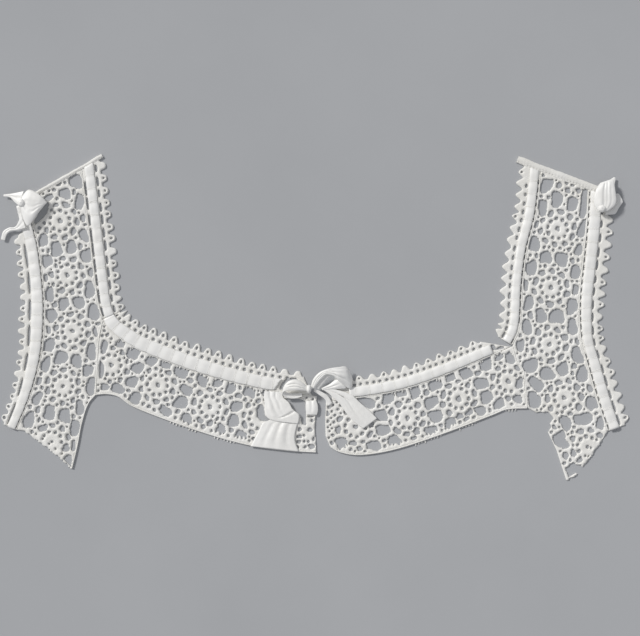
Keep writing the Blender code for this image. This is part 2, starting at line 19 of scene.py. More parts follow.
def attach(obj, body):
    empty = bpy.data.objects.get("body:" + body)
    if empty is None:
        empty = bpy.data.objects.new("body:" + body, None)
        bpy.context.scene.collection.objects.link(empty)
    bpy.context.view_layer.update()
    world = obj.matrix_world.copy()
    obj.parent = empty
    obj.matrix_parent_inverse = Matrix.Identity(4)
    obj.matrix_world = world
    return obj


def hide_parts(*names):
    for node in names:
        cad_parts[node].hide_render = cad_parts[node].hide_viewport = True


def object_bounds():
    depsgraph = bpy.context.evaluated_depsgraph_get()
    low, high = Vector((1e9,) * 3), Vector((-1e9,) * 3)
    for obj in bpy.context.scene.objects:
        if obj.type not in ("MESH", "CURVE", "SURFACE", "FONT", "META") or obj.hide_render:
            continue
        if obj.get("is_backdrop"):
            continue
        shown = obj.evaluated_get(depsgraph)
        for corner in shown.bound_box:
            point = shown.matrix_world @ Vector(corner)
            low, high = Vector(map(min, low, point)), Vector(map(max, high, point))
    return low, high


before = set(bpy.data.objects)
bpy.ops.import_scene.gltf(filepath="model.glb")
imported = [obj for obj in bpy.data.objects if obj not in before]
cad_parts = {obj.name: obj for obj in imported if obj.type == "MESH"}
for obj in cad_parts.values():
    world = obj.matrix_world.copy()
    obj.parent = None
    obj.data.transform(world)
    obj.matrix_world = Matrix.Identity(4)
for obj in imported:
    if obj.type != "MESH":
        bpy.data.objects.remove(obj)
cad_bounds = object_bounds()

# Driving dimensions
OVERALL_WIDTH = 445.0
LACE_WALL = 1.2
PICOT_PITCH = 8.6
STATION = 7.0

# The photograph's frame, in which the guide tables give where each seam lies
SPAN_PX = 636.0
CENTRE_X_PX = 315.0
CENTRE_Y_PX = 317.0
WHEEL_PITCH_PX = 54.3
MM_PER_PX = OVERALL_WIDTH / SPAN_PX
METRE = 0.001


def table(columns, *rows):
    """A short table whose columns have names."""
    row_type = namedtuple("Row", columns)
    return [row_type(*row) for row in rows]


def points_px(*rows):
    return table("x_px y_px", *rows)


def seam_px(*rows):
    """A seam line, with how the width of the beading is scaled at each point."""
    return table("x_px y_px edging", *rows)


def holes_px(*rows):
    """Holes with half sizes along and across a way that is tilted from the horizontal."""
    return table("x_px y_px half_x half_y tilt square", *rows)


def slots(*rows):
    """Rows of slots: distance out, half width, pitch, and the share filled at start and end."""
    return table("out half pitch start end", *rows)


def dots_px(*rows):
    return table("x_px y_px to_x_px to_y_px count", *rows)


# Seam lines between the lace and its edgings, from the shoulder down or from seam to front
NECK_LEFT = seam_px(
    (79.0, 150.0, 0.97), (83.0, 182.0, 0.97), (90.3, 242.0, 0.97), (95.6, 286.0, 0.96),
    (99.0, 307.0, 0.95), (106.0, 325.0, 0.95), (122.0, 339.5, 1.0), (146.0, 353.0, 1.02),
    (200.0, 373.0, 1.03), (256.0, 387.5, 0.95), (290.0, 392.5, 0.9), (317.0, 396.0, 0.9),
)
NECK_STRAP_RIGHT = seam_px(
    (542.5, 155.0, 1.05), (536.5, 211.0, 1.05), (527.0, 250.0, 1.0), (522.5, 286.0, 1.0),
    (521.0, 315.0, 1.0), (518.0, 333.0, 1.0), (508.0, 351.0, 0.95),
)
NECK_BAND_RIGHT = seam_px(
    (520.0, 343.0, 0.95), (492.0, 355.0, 0.95), (440.0, 377.0, 1.0), (400.0, 390.0, 1.0),
    (362.0, 397.0, 1.0), (326.0, 401.0, 1.0),
)
ARM_LEFT = seam_px(
    (24.0, 184.0, 0.93), (29.0, 210.0, 0.93), (38.0, 245.0, 0.95), (43.3, 285.0, 1.0),
    (44.6, 316.0, 1.07), (42.0, 350.0, 1.0), (36.5, 376.0, 0.93), (28.0, 402.0, 0.82),
    (16.0, 430.0, 0.74),
)
ARM_RIGHT = seam_px(
    (589.5, 175.0, 1.1), (587.0, 222.0, 1.1), (583.0, 262.0, 1.08), (579.3, 303.0, 1.03),
    (581.0, 339.0, 0.96), (588.0, 366.0, 1.0), (597.0, 398.0, 1.02), (608.0, 431.0, 1.0),
)
# Seams between each strap and its band, from the neck corner down
CORNER_LEFT = points_px((102.5, 320.0), (98.5, 340.0), (96.8, 370.0), (95.4, 394.3))
CORNER_RIGHT = points_px(
    (512.6, 346.4), (516.5, 361.0), (524.0, 373.0), (527.3, 407.8)
)

# Lower edges, from the seam at the strap to centre front
HEM_LEFT = points_px(
    (95.4, 394.3), (107.0, 393.6), (119.0, 396.5), (133.0, 406.0), (164.0, 418.5),
    (209.0, 434.0), (250.0, 445.0), (285.0, 450.0), (316.5, 452.0),
)
HEM_RIGHT = points_px(
    (527.3, 407.8), (507.0, 409.0), (490.0, 415.5), (444.0, 433.0), (397.0, 448.5),
    (362.0, 454.5), (341.0, 452.0), (329.8, 446.0),
)
# Inner edges of the strap tails, from the seam down to the tip
TAIL_LEFT = points_px(
    (95.4, 394.3), (87.5, 404.5), (81.5, 423.0), (77.0, 446.0), (71.5, 469.0)
)
TAIL_RIGHT = points_px(
    (527.3, 407.8), (536.0, 412.5), (545.5, 427.0), (556.5, 450.0), (566.5, 480.5)
)
# Cut ends: tail and centre front
TAIL_END_LEFT = points_px((63.0, 460.0), (38.0, 440.5), (25.0, 431.0))
TAIL_END_RIGHT = points_px((577.0, 474.5), (590.0, 457.5), (602.0, 440.0))
FRONT_LEFT = points_px((316.5, 396.0), (314.8, 428.0), (316.5, 452.0))
FRONT_RIGHT = points_px((328.5, 401.0), (325.2, 422.0), (325.6, 436.0), (329.8, 446.0))
# Where the neck beadings are trimmed: slantwise at the left front, and at the right corner
FRONT_TRIM = points_px((313.5, 399.0), (299.0, 366.0))
CORNER_TRIM = points_px((512.8, 347.3), (487.0, 342.8))
# Where each length of beading or ribbon ends under the centre bow
BEADING_END_LEFT = points_px((313.0, 395.5))
BEADING_END_RIGHT = points_px((333.0, 400.4))
RIBBON_END_LEFT = points_px((279.0, 391.0))
RIBBON_END_RIGHT = points_px((350.0, 398.6))

Shoulder = namedtuple("Shoulder", "neck_x_px neck_y_px arm_x_px arm_y_px binding")
SHOULDER_LEFT = Shoulder(101.0, 153.5, 26.0, 196.5, 3.0)
SHOULDER_RIGHT = Shoulder(519.0, 155.5, 601.0, 186.5, 5.2)

# Wheel centres along each insertion; the first and last may lie past a cut end
WHEELS_STRAP_LEFT = points_px(
    (53.5, 167.0), (60.2, 221.1), (67.3, 275.2), (72.4, 331.2), (63.0, 386.4), (52.0, 442.0),
)
WHEELS_BAND_LEFT = points_px(
    (111.3, 365.2), (158.0, 385.3), (210.0, 407.0), (260.0, 418.5)
)
WHEELS_STRAP_RIGHT = points_px(
    (572.5, 174.5), (558.1, 228.8), (551.4, 287.7), (549.7, 344.6), (564.6, 397.8), (588.0, 447.0),
)
WHEELS_BAND_RIGHT = points_px(
    (508.4, 381.7), (459.0, 399.1), (407.8, 418.2), (355.6, 427.0)
)

# Beading sections, as distances from the seam line out to the picot tips
Beading = namedtuple("Beading", "ribbon_in ribbon_out base tip")
BEADING_NECK_LEFT = Beading(1.2, 9.0, 13.4, 18.2)
BEADING_NECK_STRAP_RIGHT = Beading(1.4, 7.2, 11.2, 15.4)
BEADING_NECK_BAND_RIGHT = Beading(1.0, 7.4, 11.6, 15.6)
BEADING_ARM = Beading(1.5, 8.0, 12.8, 17.2)


def place(x_px, y_px):
    """A point of the photograph's frame, in millimetres on the table."""
    return Vector(((x_px - CENTRE_X_PX) * MM_PER_PX, (CENTRE_Y_PX - y_px) * MM_PER_PX))


def points_of(rows):
    return [place(row.x_px, row.y_px) for row in rows]


def array_of(points):
    return np.array([(p.x, p.y) for p in points])


def left_of(way):
    return Vector((-way.y, way.x))


def downward(way):
    """The direction square to a way that points down the photograph."""
    return -left_of(way) if way.x > 0 else left_of(way)


class Guide:
    """A smooth curve through a table's points, read by its length from the first."""

    STEPS = 12

    def __init__(self, rows):
        edgings = [getattr(row, "edging", 1.0) for row in rows]
        through = [Vector((*p, e)) for p, e in zip(points_of(rows), edgings)]
        ends = [2 * through[0] - through[1]] + through + [2 * through[-1] - through[-2]]
        spots = [through[0]]
        for i in range(1, len(ends) - 2):
            for step in range(1, self.STEPS + 1):
                spots.append(self.spline(ends[i - 1 : i + 3], step / self.STEPS))
        self.points = [Vector((p.x, p.y)) for p in spots]
        self.edgings = [p.z for p in spots]
        self.lengths = [0.0]
        for a, b in zip(self.points, self.points[1:]):
            self.lengths.append(self.lengths[-1] + (b - a).length)
        self.length = self.lengths[-1]

    @staticmethod
    def spline(p, t):
        """Catmull-Rom between the second and third of four points."""
        return 0.5 * (
            2 * p[1]
            + (p[2] - p[0]) * t
            + (2 * p[0] - 5 * p[1] + 4 * p[2] - p[3]) * t**2
            + (3 * p[1] - p[0] - 3 * p[2] + p[3]) * t**3
        )

    def at(self, s):
        """The point at length s, the unit direction there and the edging's scale."""
        s = min(max(s, 0.0), self.length)
        i = 0
        while i < len(self.lengths) - 2 and self.lengths[i + 1] < s:
            i += 1
        share = (s - self.lengths[i]) / (self.lengths[i + 1] - self.lengths[i])
        before = self.points[max(i - 1, 0)]
        beyond = self.points[min(i + 2, len(self.points) - 1)]
        a = self.points[i]
        b = self.points[i + 1]
        way = (b - before).normalized().lerp((beyond - a).normalized(), share).normalized()
        edging = self.edgings[i] + (self.edgings[i + 1] - self.edgings[i]) * share
        return a + (b - a) * share, way, edging

    def offset(self, s, out, side, scaled=False):
        """A point at length s, out from the curve to its left (side 1) or right (side -1)."""
        point, way, edging = self.at(s)
        return point + left_of(way) * out * side * (edging if scaled else 1.0)

    def run(self, start, stop, out, side, scaled=False):
        """An offset curve at every station between two lengths, and at both ends."""
        low = min(start, stop)
        high = max(start, stop)
        marks = [low]
        station = math.ceil((low + 1.0) / STATION)
        while station * STATION < high - 1.0:
            marks.append(station * STATION)
            station += 1
        marks.append(high)
        if stop < start:
            marks.reverse()
        return [self.offset(s, out, side, scaled) for s in marks]

    def nearest(self, point):
        """The length at which the curve passes nearest to a point."""
        return min(zip(self.points, self.lengths), key=lambda pair: (pair[0] - point).length)[1]


# The repeat, in the photograph's pixels. Rings lie round each wheel, phase is in steps of the
# ring, and half_out is the half size away from the centre
RINGS = table(
    "radius count phase half_out half_round square",
    (0.0, 1, 0.0, 2.5, 2.5, 0.1),
    (10.1, 10, 0.5, 1.8, 2.0, 0.0),
    (16.8, 10, 0.0, 2.8, 3.5, 0.1),
)
# Holes between two wheels: u along from halfway, v across, on both signs of each. Teeth marks a
# gap whose outer side is toothed where it meets the ribbon
BETWEEN_STRAP = table(
    "u v half_u half_v tilt square teeth",
    (0.0, 8.0, 6.8, 6.3, 0.0, 0.3, 0),
    (0.0, 17.2, 3.3, 2.7, 0.0, 0.1, 0),
    (10.4, 20.8, 7.4, 5.2, 7.0, 0.3, 0),
    (27.0, 23.2, 4.8, 2.5, 0.0, 0.2, 0),
    (8.4, 0.0, 1.0, 0.9, 0.0, 0.0, 0),
    (19.4, 16.6, 0.95, 0.95, 0.0, 0.0, 0),
)
BETWEEN_BAND = table(
    "u v half_u half_v tilt square teeth",
    (0.0, 7.3, 6.9, 6.0, 0.0, 0.35, 0),
    (0.0, -7.3, 6.9, 6.0, 0.0, 0.35, 0),
    (0.0, 16.8, 3.3, 2.7, 0.0, 0.1, 0),
    (0.0, -16.6, 3.0, 2.5, 0.0, 0.1, 0),
    (11.0, 21.8, 6.7, 6.3, 4.0, 0.45, 1),
    (10.6, -19.6, 6.5, 4.9, -6.0, 0.35, -1),
    (27.0, 23.9, 5.4, 3.9, 0.0, 0.4, 1),
    (27.0, -21.6, 2.7, 2.2, 0.0, 0.1, 0),
    (20.6, 5.8, 0.95, 0.95, 0.0, 0.0, 0),
    (20.6, -5.8, 0.95, 0.95, 0.0, 0.0, 0),
)
# How a strip's pattern is drawn in or out to its borders
HALF_WIDTH_PX = 27.2
ROUND_WITHIN_PX = 12.0
REACH_LIMITS = (0.7, 1.3)
# How far the repeat strays in place, in degrees and in size
SLIP_ALONG = 0.5
SLIP_ACROSS_PX = 0.7
TURN_DEG = 8.0
GAP_SIZES = (0.86, 1.1)
RING_SIZES = (0.82, 1.12)
RING_RADII = (0.95, 1.04)
LONGEST_STRETCH = 1.1
# A spot this far along lies at a wheel, so the next stretch makes its twin
SHARED_FROM_PX = 26.0
WHEEL_TURN_DEG = {"strap_left": 9.0}
# The outline of a hole: how uneven and ragged it is, and its teeth
UNEVEN = 0.135
RAGGED = 0.42
RAGGED_SHARE = 0.17
SIDE_LENGTH = 0.8
TOOTHED_SIDE_LENGTH = 0.62
TOOTH_DEPTH = (1.2, 2.1)
TOOTHED_GROWTH = 1.12
HEM_TEETH_CHANCE = 0.4
# Bars between holes and along the edge
THIN_BAR = 0.52
EDGE_BAR = 0.62
TOOTHED_EDGE_BAR = 0.3
EDGING_BAR = 0.22
# A hole is left out where it is smaller, nearer the edge or more cut down than this
LEAST_HOLE = 0.6
LEAST_DEPTH = 0.4
LEAST_SHARE = 0.3
SHRINK = 0.9
SHRINK_TRIES = 5
NEIGHBOURS = 60
# How large the repeat's holes are on each insertion
HOLE_SIZE = {"strap_left": 0.95, "band_left": 0.95, "strap_right": 1.01, "band_right": 1.01}
# Large holes swell, by no more than a share of their size, until the bars between them are this wide
BAR_WIDTH = 2.3
SWELL_FROM = 1.9
SWELL_SHARE = 0.14
# Tiny dots fill the places where bars meet: their radii, the bar left round each, and how near a
# wheel's centre they may come
DOT_RADIUS = (0.6, 1.2)
DOT_CLEARANCE = 1.12
DOT_GRID = 0.7
WHEEL_SOLID_PX = 14.0

# Rows of slots in the edgings
HOLE_ROWS = {
    "neck_strap_left": slots((1.4, 1.0, 10.6, 0.9, 0.92), (10.4, 1.12, 9.0, 0.72, 0.86)),
    "neck_band_left": slots((10.7, 1.15, 5.4, 0.5, 0.42)),
    "neck_strap_right": slots((0.95, 0.62, 5.4, 0.5, 0.86), (8.5, 0.92, 6.4, 0.42, 0.86)),
    "neck_band_right": slots((8.9, 1.0, 4.8, 0.5, 0.46)),
    "arm_left": slots((0.8, 0.5, 4.4, 0.42, 0.6), (9.8, 0.92, 19.0, 0.92, 0.9)),
    "arm_right": slots((0.95, 0.6, 5.2, 0.6, 0.8), (9.4, 0.86, 9.6, 0.66, 0.86)),
}
# Where the ribbon lies on each edging, out from the seam, and how the picots look: round lobes
# at 0, triangles at 1
EDGINGS = {
    "neck_strap_left": (2.35, 8.8, 0.0),
    "neck_band_left": (0.35, 9.2, 0.1),
    "neck_strap_right": (1.6, 7.2, 0.75),
    "neck_band_right": (0.9, 7.5, 0.5),
    "arm_left": (1.3, 8.5, 0.15),
    "arm_right": (1.6, 8.1, 0.5),
}
ROUND_LOBE = table(
    "share rise", (0.0, 0.02), (0.14, 0.1), (0.2, 0.42), (0.26, 0.76), (0.35, 0.95), (0.5, 1.03),
    (0.65, 0.95), (0.74, 0.76), (0.8, 0.42), (0.86, 0.1),
)
TRIANGLE_LOBE = table(
    "share rise", (0.0, 0.0), (0.1, 0.16), (0.2, 0.4), (0.3, 0.62), (0.4, 0.86), (0.5, 1.0),
    (0.6, 0.9), (0.7, 0.64), (0.8, 0.4), (0.9, 0.16),
)
# Odd holes that are no part of the repeat
ODD_HOLES = {
    "strap_left": holes_px(
        (41.6, 213.6, 12.0, 3.0, 52.0, 0.2), (48.6, 197.4, 5.4, 3.8, 30.0, 0.2),
        (90.6, 386.5, 4.6, 8.0, 0.0, 0.4), (87.6, 370.5, 4.6, 6.0, 0.0, 0.4),
        (24.0, 398.6, 2.4, 2.0, 0.0, 0.0), (66.0, 448.0, 4.2, 3.4, 20.0, 0.2),
        (43.0, 428.0, 4.4, 3.4, 20.0, 0.2),
    ),
    "band_left": holes_px(
        (104.2, 347.0, 3.2, 6.4, -16.0, 0.3), (101.4, 370.0, 2.8, 7.4, 0.0, 0.3),
        (105.0, 387.0, 4.6, 3.0, 0.0, 0.3), (299.8, 429.6, 2.3, 2.0, 0.0, 0.2),
        (299.4, 436.6, 2.9, 1.9, 0.0, 0.2), (298.6, 442.0, 2.8, 1.6, 0.0, 0.2),
        (304.2, 435.6, 1.5, 1.5, 0.0, 0.0), (304.4, 441.6, 1.4, 1.4, 0.0, 0.0),
        (311.0, 416.8, 4.6, 1.1, 0.0, 0.0), (308.6, 441.8, 1.4, 1.4, 0.0, 0.0),
    ),
    "strap_right": holes_px(
        (584.6, 203.0, 12.6, 4.6, 82.0, 0.4), (582.6, 228.6, 8.6, 4.2, 74.0, 0.3),
        (578.6, 250.0, 6.4, 3.2, 68.0, 0.3), (520.7, 345.5, 3.4, 6.4, 0.0, 0.4),
        (536.6, 384.2, 7.6, 5.8, -40.0, 0.3), (534.4, 400.0, 6.2, 7.6, 0.0, 0.3),
        (546.8, 418.0, 4.4, 6.8, 30.0, 0.3), (565.9, 423.1, 7.0, 5.4, -50.0, 0.3),
        (583.3, 418.9, 8.4, 6.4, 10.0, 0.3), (565.9, 455.7, 2.6, 4.2, 0.0, 0.1),
        (573.5, 453.2, 2.6, 4.2, 0.0, 0.1), (580.0, 460.0, 3.0, 3.0, 0.0, 0.0),
        (559.7, 437.7, 6.8, 6.8, 20.0, 0.4), (572.0, 468.0, 5.2, 4.6, 40.0, 0.5),
        (600.4, 423.4, 4.2, 5.8, 0.0, 0.3), (530.8, 365.4, 7.0, 7.4, 0.0, 0.2),
        (512.9, 349.0, 1.6, 1.6, 0.0, 0.0),
    ),
    "band_right": holes_px(
        (510.0, 358.4, 4.4, 5.6, 20.0, 0.4), (366.4, 402.4, 8.6, 5.0, -20.0, 0.4),
        (519.6, 383.0, 3.2, 6.0, 0.0, 0.3), (517.8, 399.0, 4.4, 4.0, 0.0, 0.3),
    ),
}
# Bent gaps beside the left front ribbon end
BENT_GAPS = {
    "band_left": (
        points_px(
            (279.0, 399.4), (299.0, 398.8), (305.2, 401.0), (306.0, 411.0), (305.8, 425.0),
            (301.8, 424.0), (299.6, 414.6), (293.0, 408.2), (287.6, 402.8),
        ),
        points_px(
            (259.0, 404.4), (262.4, 404.8), (264.0, 408.0), (264.8, 415.4), (268.0, 418.0),
            (275.0, 418.2), (275.0, 420.6), (268.0, 421.6), (261.0, 420.4), (257.4, 416.6),
            (256.6, 409.0),
        ),
    ),
}
# Gaps that lie open to the edge of the lace
OPEN_GAPS = {
    "strap_right": (
        points_px(
            (541.8, 411.8), (547.6, 418.6), (551.4, 426.6), (547.2, 434.2), (540.6, 424.0),
            (534.6, 413.2),
        ),
        points_px(
            (572.6, 464.0), (580.0, 465.4), (586.0, 468.4), (580.4, 475.4), (575.8, 472.8),
            (571.8, 470.6),
        ),
    ),
}
# Where loose thread ends hang from a hem, from one end to the other of each stretch
COMBED = {
    "band_left": table("from_x_px to_x_px", (169.0, 199.0), (213.0, 235.0)),
    "band_right": table("from_x_px to_x_px", (413.0, 442.0), (458.0, 476.0), (505.0, 518.0)),
}
COMB_PITCH = 2.1
COMB_HALF = 0.3
COMB_DROP = (1.1, 2.4)
# Cut tail ends are rough: the spacing of their points, and how far those stand out or in
FRAY_STEP = 0.85
FRAY_OUT = 0.95
FRAY_IN = 0.4
JITTER = 0.14
# Rows of small dots along an edge: from and to, and how many
DOT_ROWS = {
    "strap_left": dots_px((88.6, 398.0, 77.0, 444.0, 10), (36.0, 434.0, 62.0, 454.0, 5)),
    "band_left": dots_px((300.0, 396.4, 313.0, 399.4, 3)),
    "strap_right": dots_px((580.0, 464.0, 597.0, 440.0, 4)),
    "band_right": dots_px((333.0, 405.0, 329.0, 438.0, 6)),
}
DOT_HALF_PX = 1.15
# Slits in the beading under the centre bow
EDGING_SLITS = {
    "neck_band_left": holes_px(
        (283.4, 384.9, 5.4, 2.5, 62.0, 0.3), (292.0, 380.6, 6.6, 2.2, -8.0, 0.3),
        (286.4, 391.0, 2.2, 1.2, 0.0, 0.0),
    ),
    "neck_band_right": holes_px(
        (500.4, 347.9, 3.8, 1.5, 14.0, 0.1), (493.4, 347.6, 2.3, 2.9, 20.0, 0.3),
    ),
}
# How far along an edging's outer edge runs plain and narrow, behind the shoulder bow
BARE_EDGE = {"arm_left": 33.0}
EYELET_CHANCE = {"neck_strap_right": 0.2, "neck_band_right": 0.6, "arm_right": 0.6}
USUAL_EYELET_CHANCE = 0.8
# How far from its start a length's ribbon begins, at the right neck corner
RIBBON_FROM = {"neck_band_right": 20.0}
# How far below its start a length stays plain
PLAIN_START = {"neck_strap_right": 18.0}
EYELET = 0.82
# Rows of slots this far out follow the edging's taper
TAPERED_FROM = 3.0
# How far apart the points inside the lace's mesh are, and how near an edge they come
GRAIN = 0.78
EDGE_STEP = 0.22
EDGE_CLEARANCE = 0.3
# Padded rings round a wheel, and how the bars are rounded
PADDING = table("radius width height", (4.4, 1.2, 0.2), (9.0, 1.4, 0.35))
ROUNDING = 0.85
EDGE_SHARE = 0.42
SHARP_DEG = 62.0
RIPPLE = 0.1
# Neighbouring outlines are this far from their shared seam line, and tuck under the binding
HAIR = 0.02
TUCK = 0.6
# Pairs of threads over the ribbon, the ribbon's own wall and how far it runs past a slanted end
THREAD_BAR_PITCH = 9.3
THREAD_APART = (-0.42, 0.42)
THREAD_RADIUS = 0.27
THREAD_POINTS = 9
BARE_RIBBON_END = 4.0
RIBBON_SHELL = 0.32
RIBBON_STEP = 1.5
RIBBON_COLUMNS = (-1.0, -0.9, -0.72, -0.48, -0.24, 0.0, 0.24, 0.48, 0.72, 0.9, 1.0)
SLANT_REACH = 6.0
# A ribbon end that isn't square to its edging: two points of the cut, the ribbon on its left
SLANTED_ENDS = {"neck_band_left": points_px((273.6, 391.6), (282.0, 379.6))}
RIBBON_ENDS = {"neck_band_left": RIBBON_END_LEFT, "neck_band_right": RIBBON_END_RIGHT}
TRIMS = {"neck_band_left": FRONT_TRIM, "neck_band_right": CORNER_TRIM}
# Overcast cords on each insertion: the line each follows and its radius
CORDS = {
    "strap_left": ((CORNER_LEFT, 0.5), (TAIL_LEFT, 0.42)),
    "band_left": ((HEM_LEFT, 0.5),),
    "strap_right": ((CORNER_RIGHT, 0.5),),
    "band_right": ((HEM_RIGHT, 0.5),),
}
SEAM_RADIUS = 0.42
CORD_HEIGHT = 1.0
OVERCAST_PITCH = 1.5
# Half of a tape's section and how it stands, from its outer fold to its stitched edge: the share
# of its width and the height
TAPE_SECTION = table(
    "share height", (0.0, 0.45), (0.03, 0.9), (0.1, 1.3), (0.24, 1.6), (0.42, 1.76), (0.6, 1.74),
    (0.74, 1.52), (0.82, 1.3), (0.88, 1.42), (0.94, 1.34), (1.0, 0.9),
)
TAPE_STEP = 0.7
TAPE_SEED = 4.0
STITCH_PITCH = 2.3
STITCH_HALF = 0.6
STITCH_RADIUS = 0.16
STITCH_IN = 0.18
# What a flat sheet is at least: its width in metres, and an insertion's share of its box
BEADING_WIDTH = 0.0182
LEAST_FLAT_WIDTH = 0.0101
LEAST_FILL = 0.31
FLOOR_LOW = (0.425, 0.435, 0.45)
FLOOR_HIGH = (0.455, 0.465, 0.48)


# Plane geometry


def side_of(point, a, b):
    """Positive where the point lies left of the line from a to b."""
    return (b.x - a.x) * (point.y - a.y) - (b.y - a.y) * (point.x - a.x)


def keep_left(outline, a, b):
    """The part of an outline that lies left of the line from a to b."""
    kept = []
    for i, point in enumerate(outline):
        after = outline[(i + 1) % len(outline)]
        here = side_of(point, a, b)
        there = side_of(after, a, b)
        if here >= 0:
            kept.append(point)
        if here * there < 0:
            kept.append(point + (after - point) * (here / (here - there)))
    return kept


def area(outline):
    return 0.5 * sum(a.cross(b) for a, b in zip(outline, outline[1:] + outline[:1]))


def dense(outline, step):
    """A closed outline with its points at most a step apart."""
    points = []
    for a, b in zip(outline, outline[1:] + outline[:1]):
        count = max(1, math.ceil((b - a).length / step))
        points += [a + (b - a) * (k / count) for k in range(count)]
    return points


def within(points, outline):
    """Which rows of an array of points lie inside an outline."""
    x = points[:, 0]
    y = points[:, 1]
    hits = np.zeros(len(points), dtype=bool)
    for a, b in zip(outline, outline[1:] + outline[:1]):
        if a.y == b.y:
            continue
        crosses = (a.y > y) != (b.y > y)
        hits ^= crosses & (x < a.x + (b.x - a.x) * (y - a.y) / (b.y - a.y))
    return hits


def in_any(spots, rings):
    """Which rows of an array of points lie inside any of some outlines."""
    hits = np.zeros(len(spots), dtype=bool)
    for ring in rings:
        corners = array_of(ring)
        near = ((spots > corners.min(axis=0)) & (spots < corners.max(axis=0))).all(axis=1)
        where = np.nonzero(near & ~hits)[0]
        if len(where):
            hits[where[within(spots[where], ring)]] = True
    return hits


def middle_of(ring):
    return sum(ring, Vector((0.0, 0.0))) / len(ring)


def mean_radius(ring):
    return math.sqrt(abs(area(ring)) / math.pi)


def tree_of(points):
    tree = KDTree(len(points))
    for i, p in enumerate(points):
        tree.insert((p.x, p.y, 0.0), i)
    tree.balance()
    return tree


class Border:
    """An outline that tells how far inside it a point lies, and pushes points in."""

    def __init__(self, outline):
        if area(outline) < 0:
            outline = outline[::-1]
        self.outline = outline
        self.points = dense(outline, 0.6)
        count = len(self.points)
        self.inward = []
        for i in range(count):
            way = (self.points[(i + 1) % count] - self.points[i - 1]).normalized()
            self.inward.append(left_of(way))
        self.tree = tree_of(self.points)

    def depth(self, point):
        _, i, _ = self.tree.find((point.x, point.y, 0.0))
        return (point - self.points[i]).dot(self.inward[i]), self.inward[i]

    def push_in(self, ring, bar):
        moved = []
        for point in ring:
            for _ in range(2):
                depth, inward = self.depth(point)
                if depth < bar:
                    point = point + inward * (bar - depth)
            moved.append(point)
        return moved


def blob(centre, way, half_along, half_across, square, rng, teeth=0.0, spacing=SIDE_LENGTH):
    """A hole with uneven rounded sides. Teeth notch its far side, away from the strip's middle."""
    across = left_of(way)
    size = math.sqrt(half_along * half_across)
    sides = max(9, round(2 * math.pi * size / spacing))
    if teeth:
        sides = max(26, round(2 * math.pi * size / TOOTHED_SIDE_LENGTH))
    lean = rng.uniform(0, 2 * math.pi)
    twist = rng.uniform(0, 2 * math.pi)
    waver = UNEVEN * (1.0 if size > 1.5 else 0.6)
    ragged = min(RAGGED, RAGGED_SHARE * size) / size
    power = 2.0 / (2.0 + 2.2 * square)
    ring = []
    for i in range(sides):
        angle = 2 * math.pi * i / sides
        c = math.cos(angle)
        s = math.sin(angle)
        swell = 1 + waver * (math.cos(2 * angle + lean) + 0.7 * math.cos(3 * angle + twist))
        swell += rng.uniform(-ragged, ragged)
        u = math.copysign(abs(c) ** power, c) * half_along * swell
        v = math.copysign(abs(s) ** power, s) * half_across * swell
        if i % 4 == 2:
            tooth = rng.uniform(*TOOTH_DEPTH)
        if teeth and s * teeth > 0.5 and i % 4 in (2, 3):
            v -= teeth * tooth
        ring.append(centre + way * u + across * v)
    return ring


# Lace


class Strip:
    """The pattern's own coordinates: u along a line of wheels, v across to two borders."""

    def __init__(self, wheels, left_border, right_border):
        centres = points_of(wheels)
        centres = [2 * centres[0] - centres[1]] + centres + [2 * centres[-1] - centres[-2]]
        Spot = namedtuple("Spot", "x_px y_px")
        spots = [Spot(p.x / MM_PER_PX + CENTRE_X_PX, CENTRE_Y_PX - p.y / MM_PER_PX) for p in centres]
        self.guide = Guide(spots)
        self.centres = centres
        self.marks = [self.guide.nearest(p) for p in centres]
        self.borders = [None if b is None else tree_of(b) for b in (left_border, right_border)]

    def reach(self, s, left):
        point, way, _ = self.guide.at(s)
        border = self.borders[0 if left else 1]
        if border is None:
            return 1.0
        _, _, gap = border.find((point.x, point.y, 0.0))
        return min(max(gap / (HALF_WIDTH_PX * MM_PER_PX), REACH_LIMITS[0]), REACH_LIMITS[1])

    def spot(self, s, v_px):
        """A point at length s and v across, drawn in or out where the strip's width changes."""
        reach = self.reach(s, v_px > 0)
        share = min(1.0, max(0.0, (abs(v_px) - ROUND_WITHIN_PX * 0.5) / ROUND_WITHIN_PX))
        v = v_px * MM_PER_PX * (1 + (reach - 1) * share)
        return self.guide.offset(s, v, 1)

    def way(self, s):
        return self.guide.at(s)[1]


def turned(way, degrees):
    c = math.cos(math.radians(degrees))
    s = math.sin(math.radians(degrees))
    return Vector((way.x * c - way.y * s, way.x * s + way.y * c))


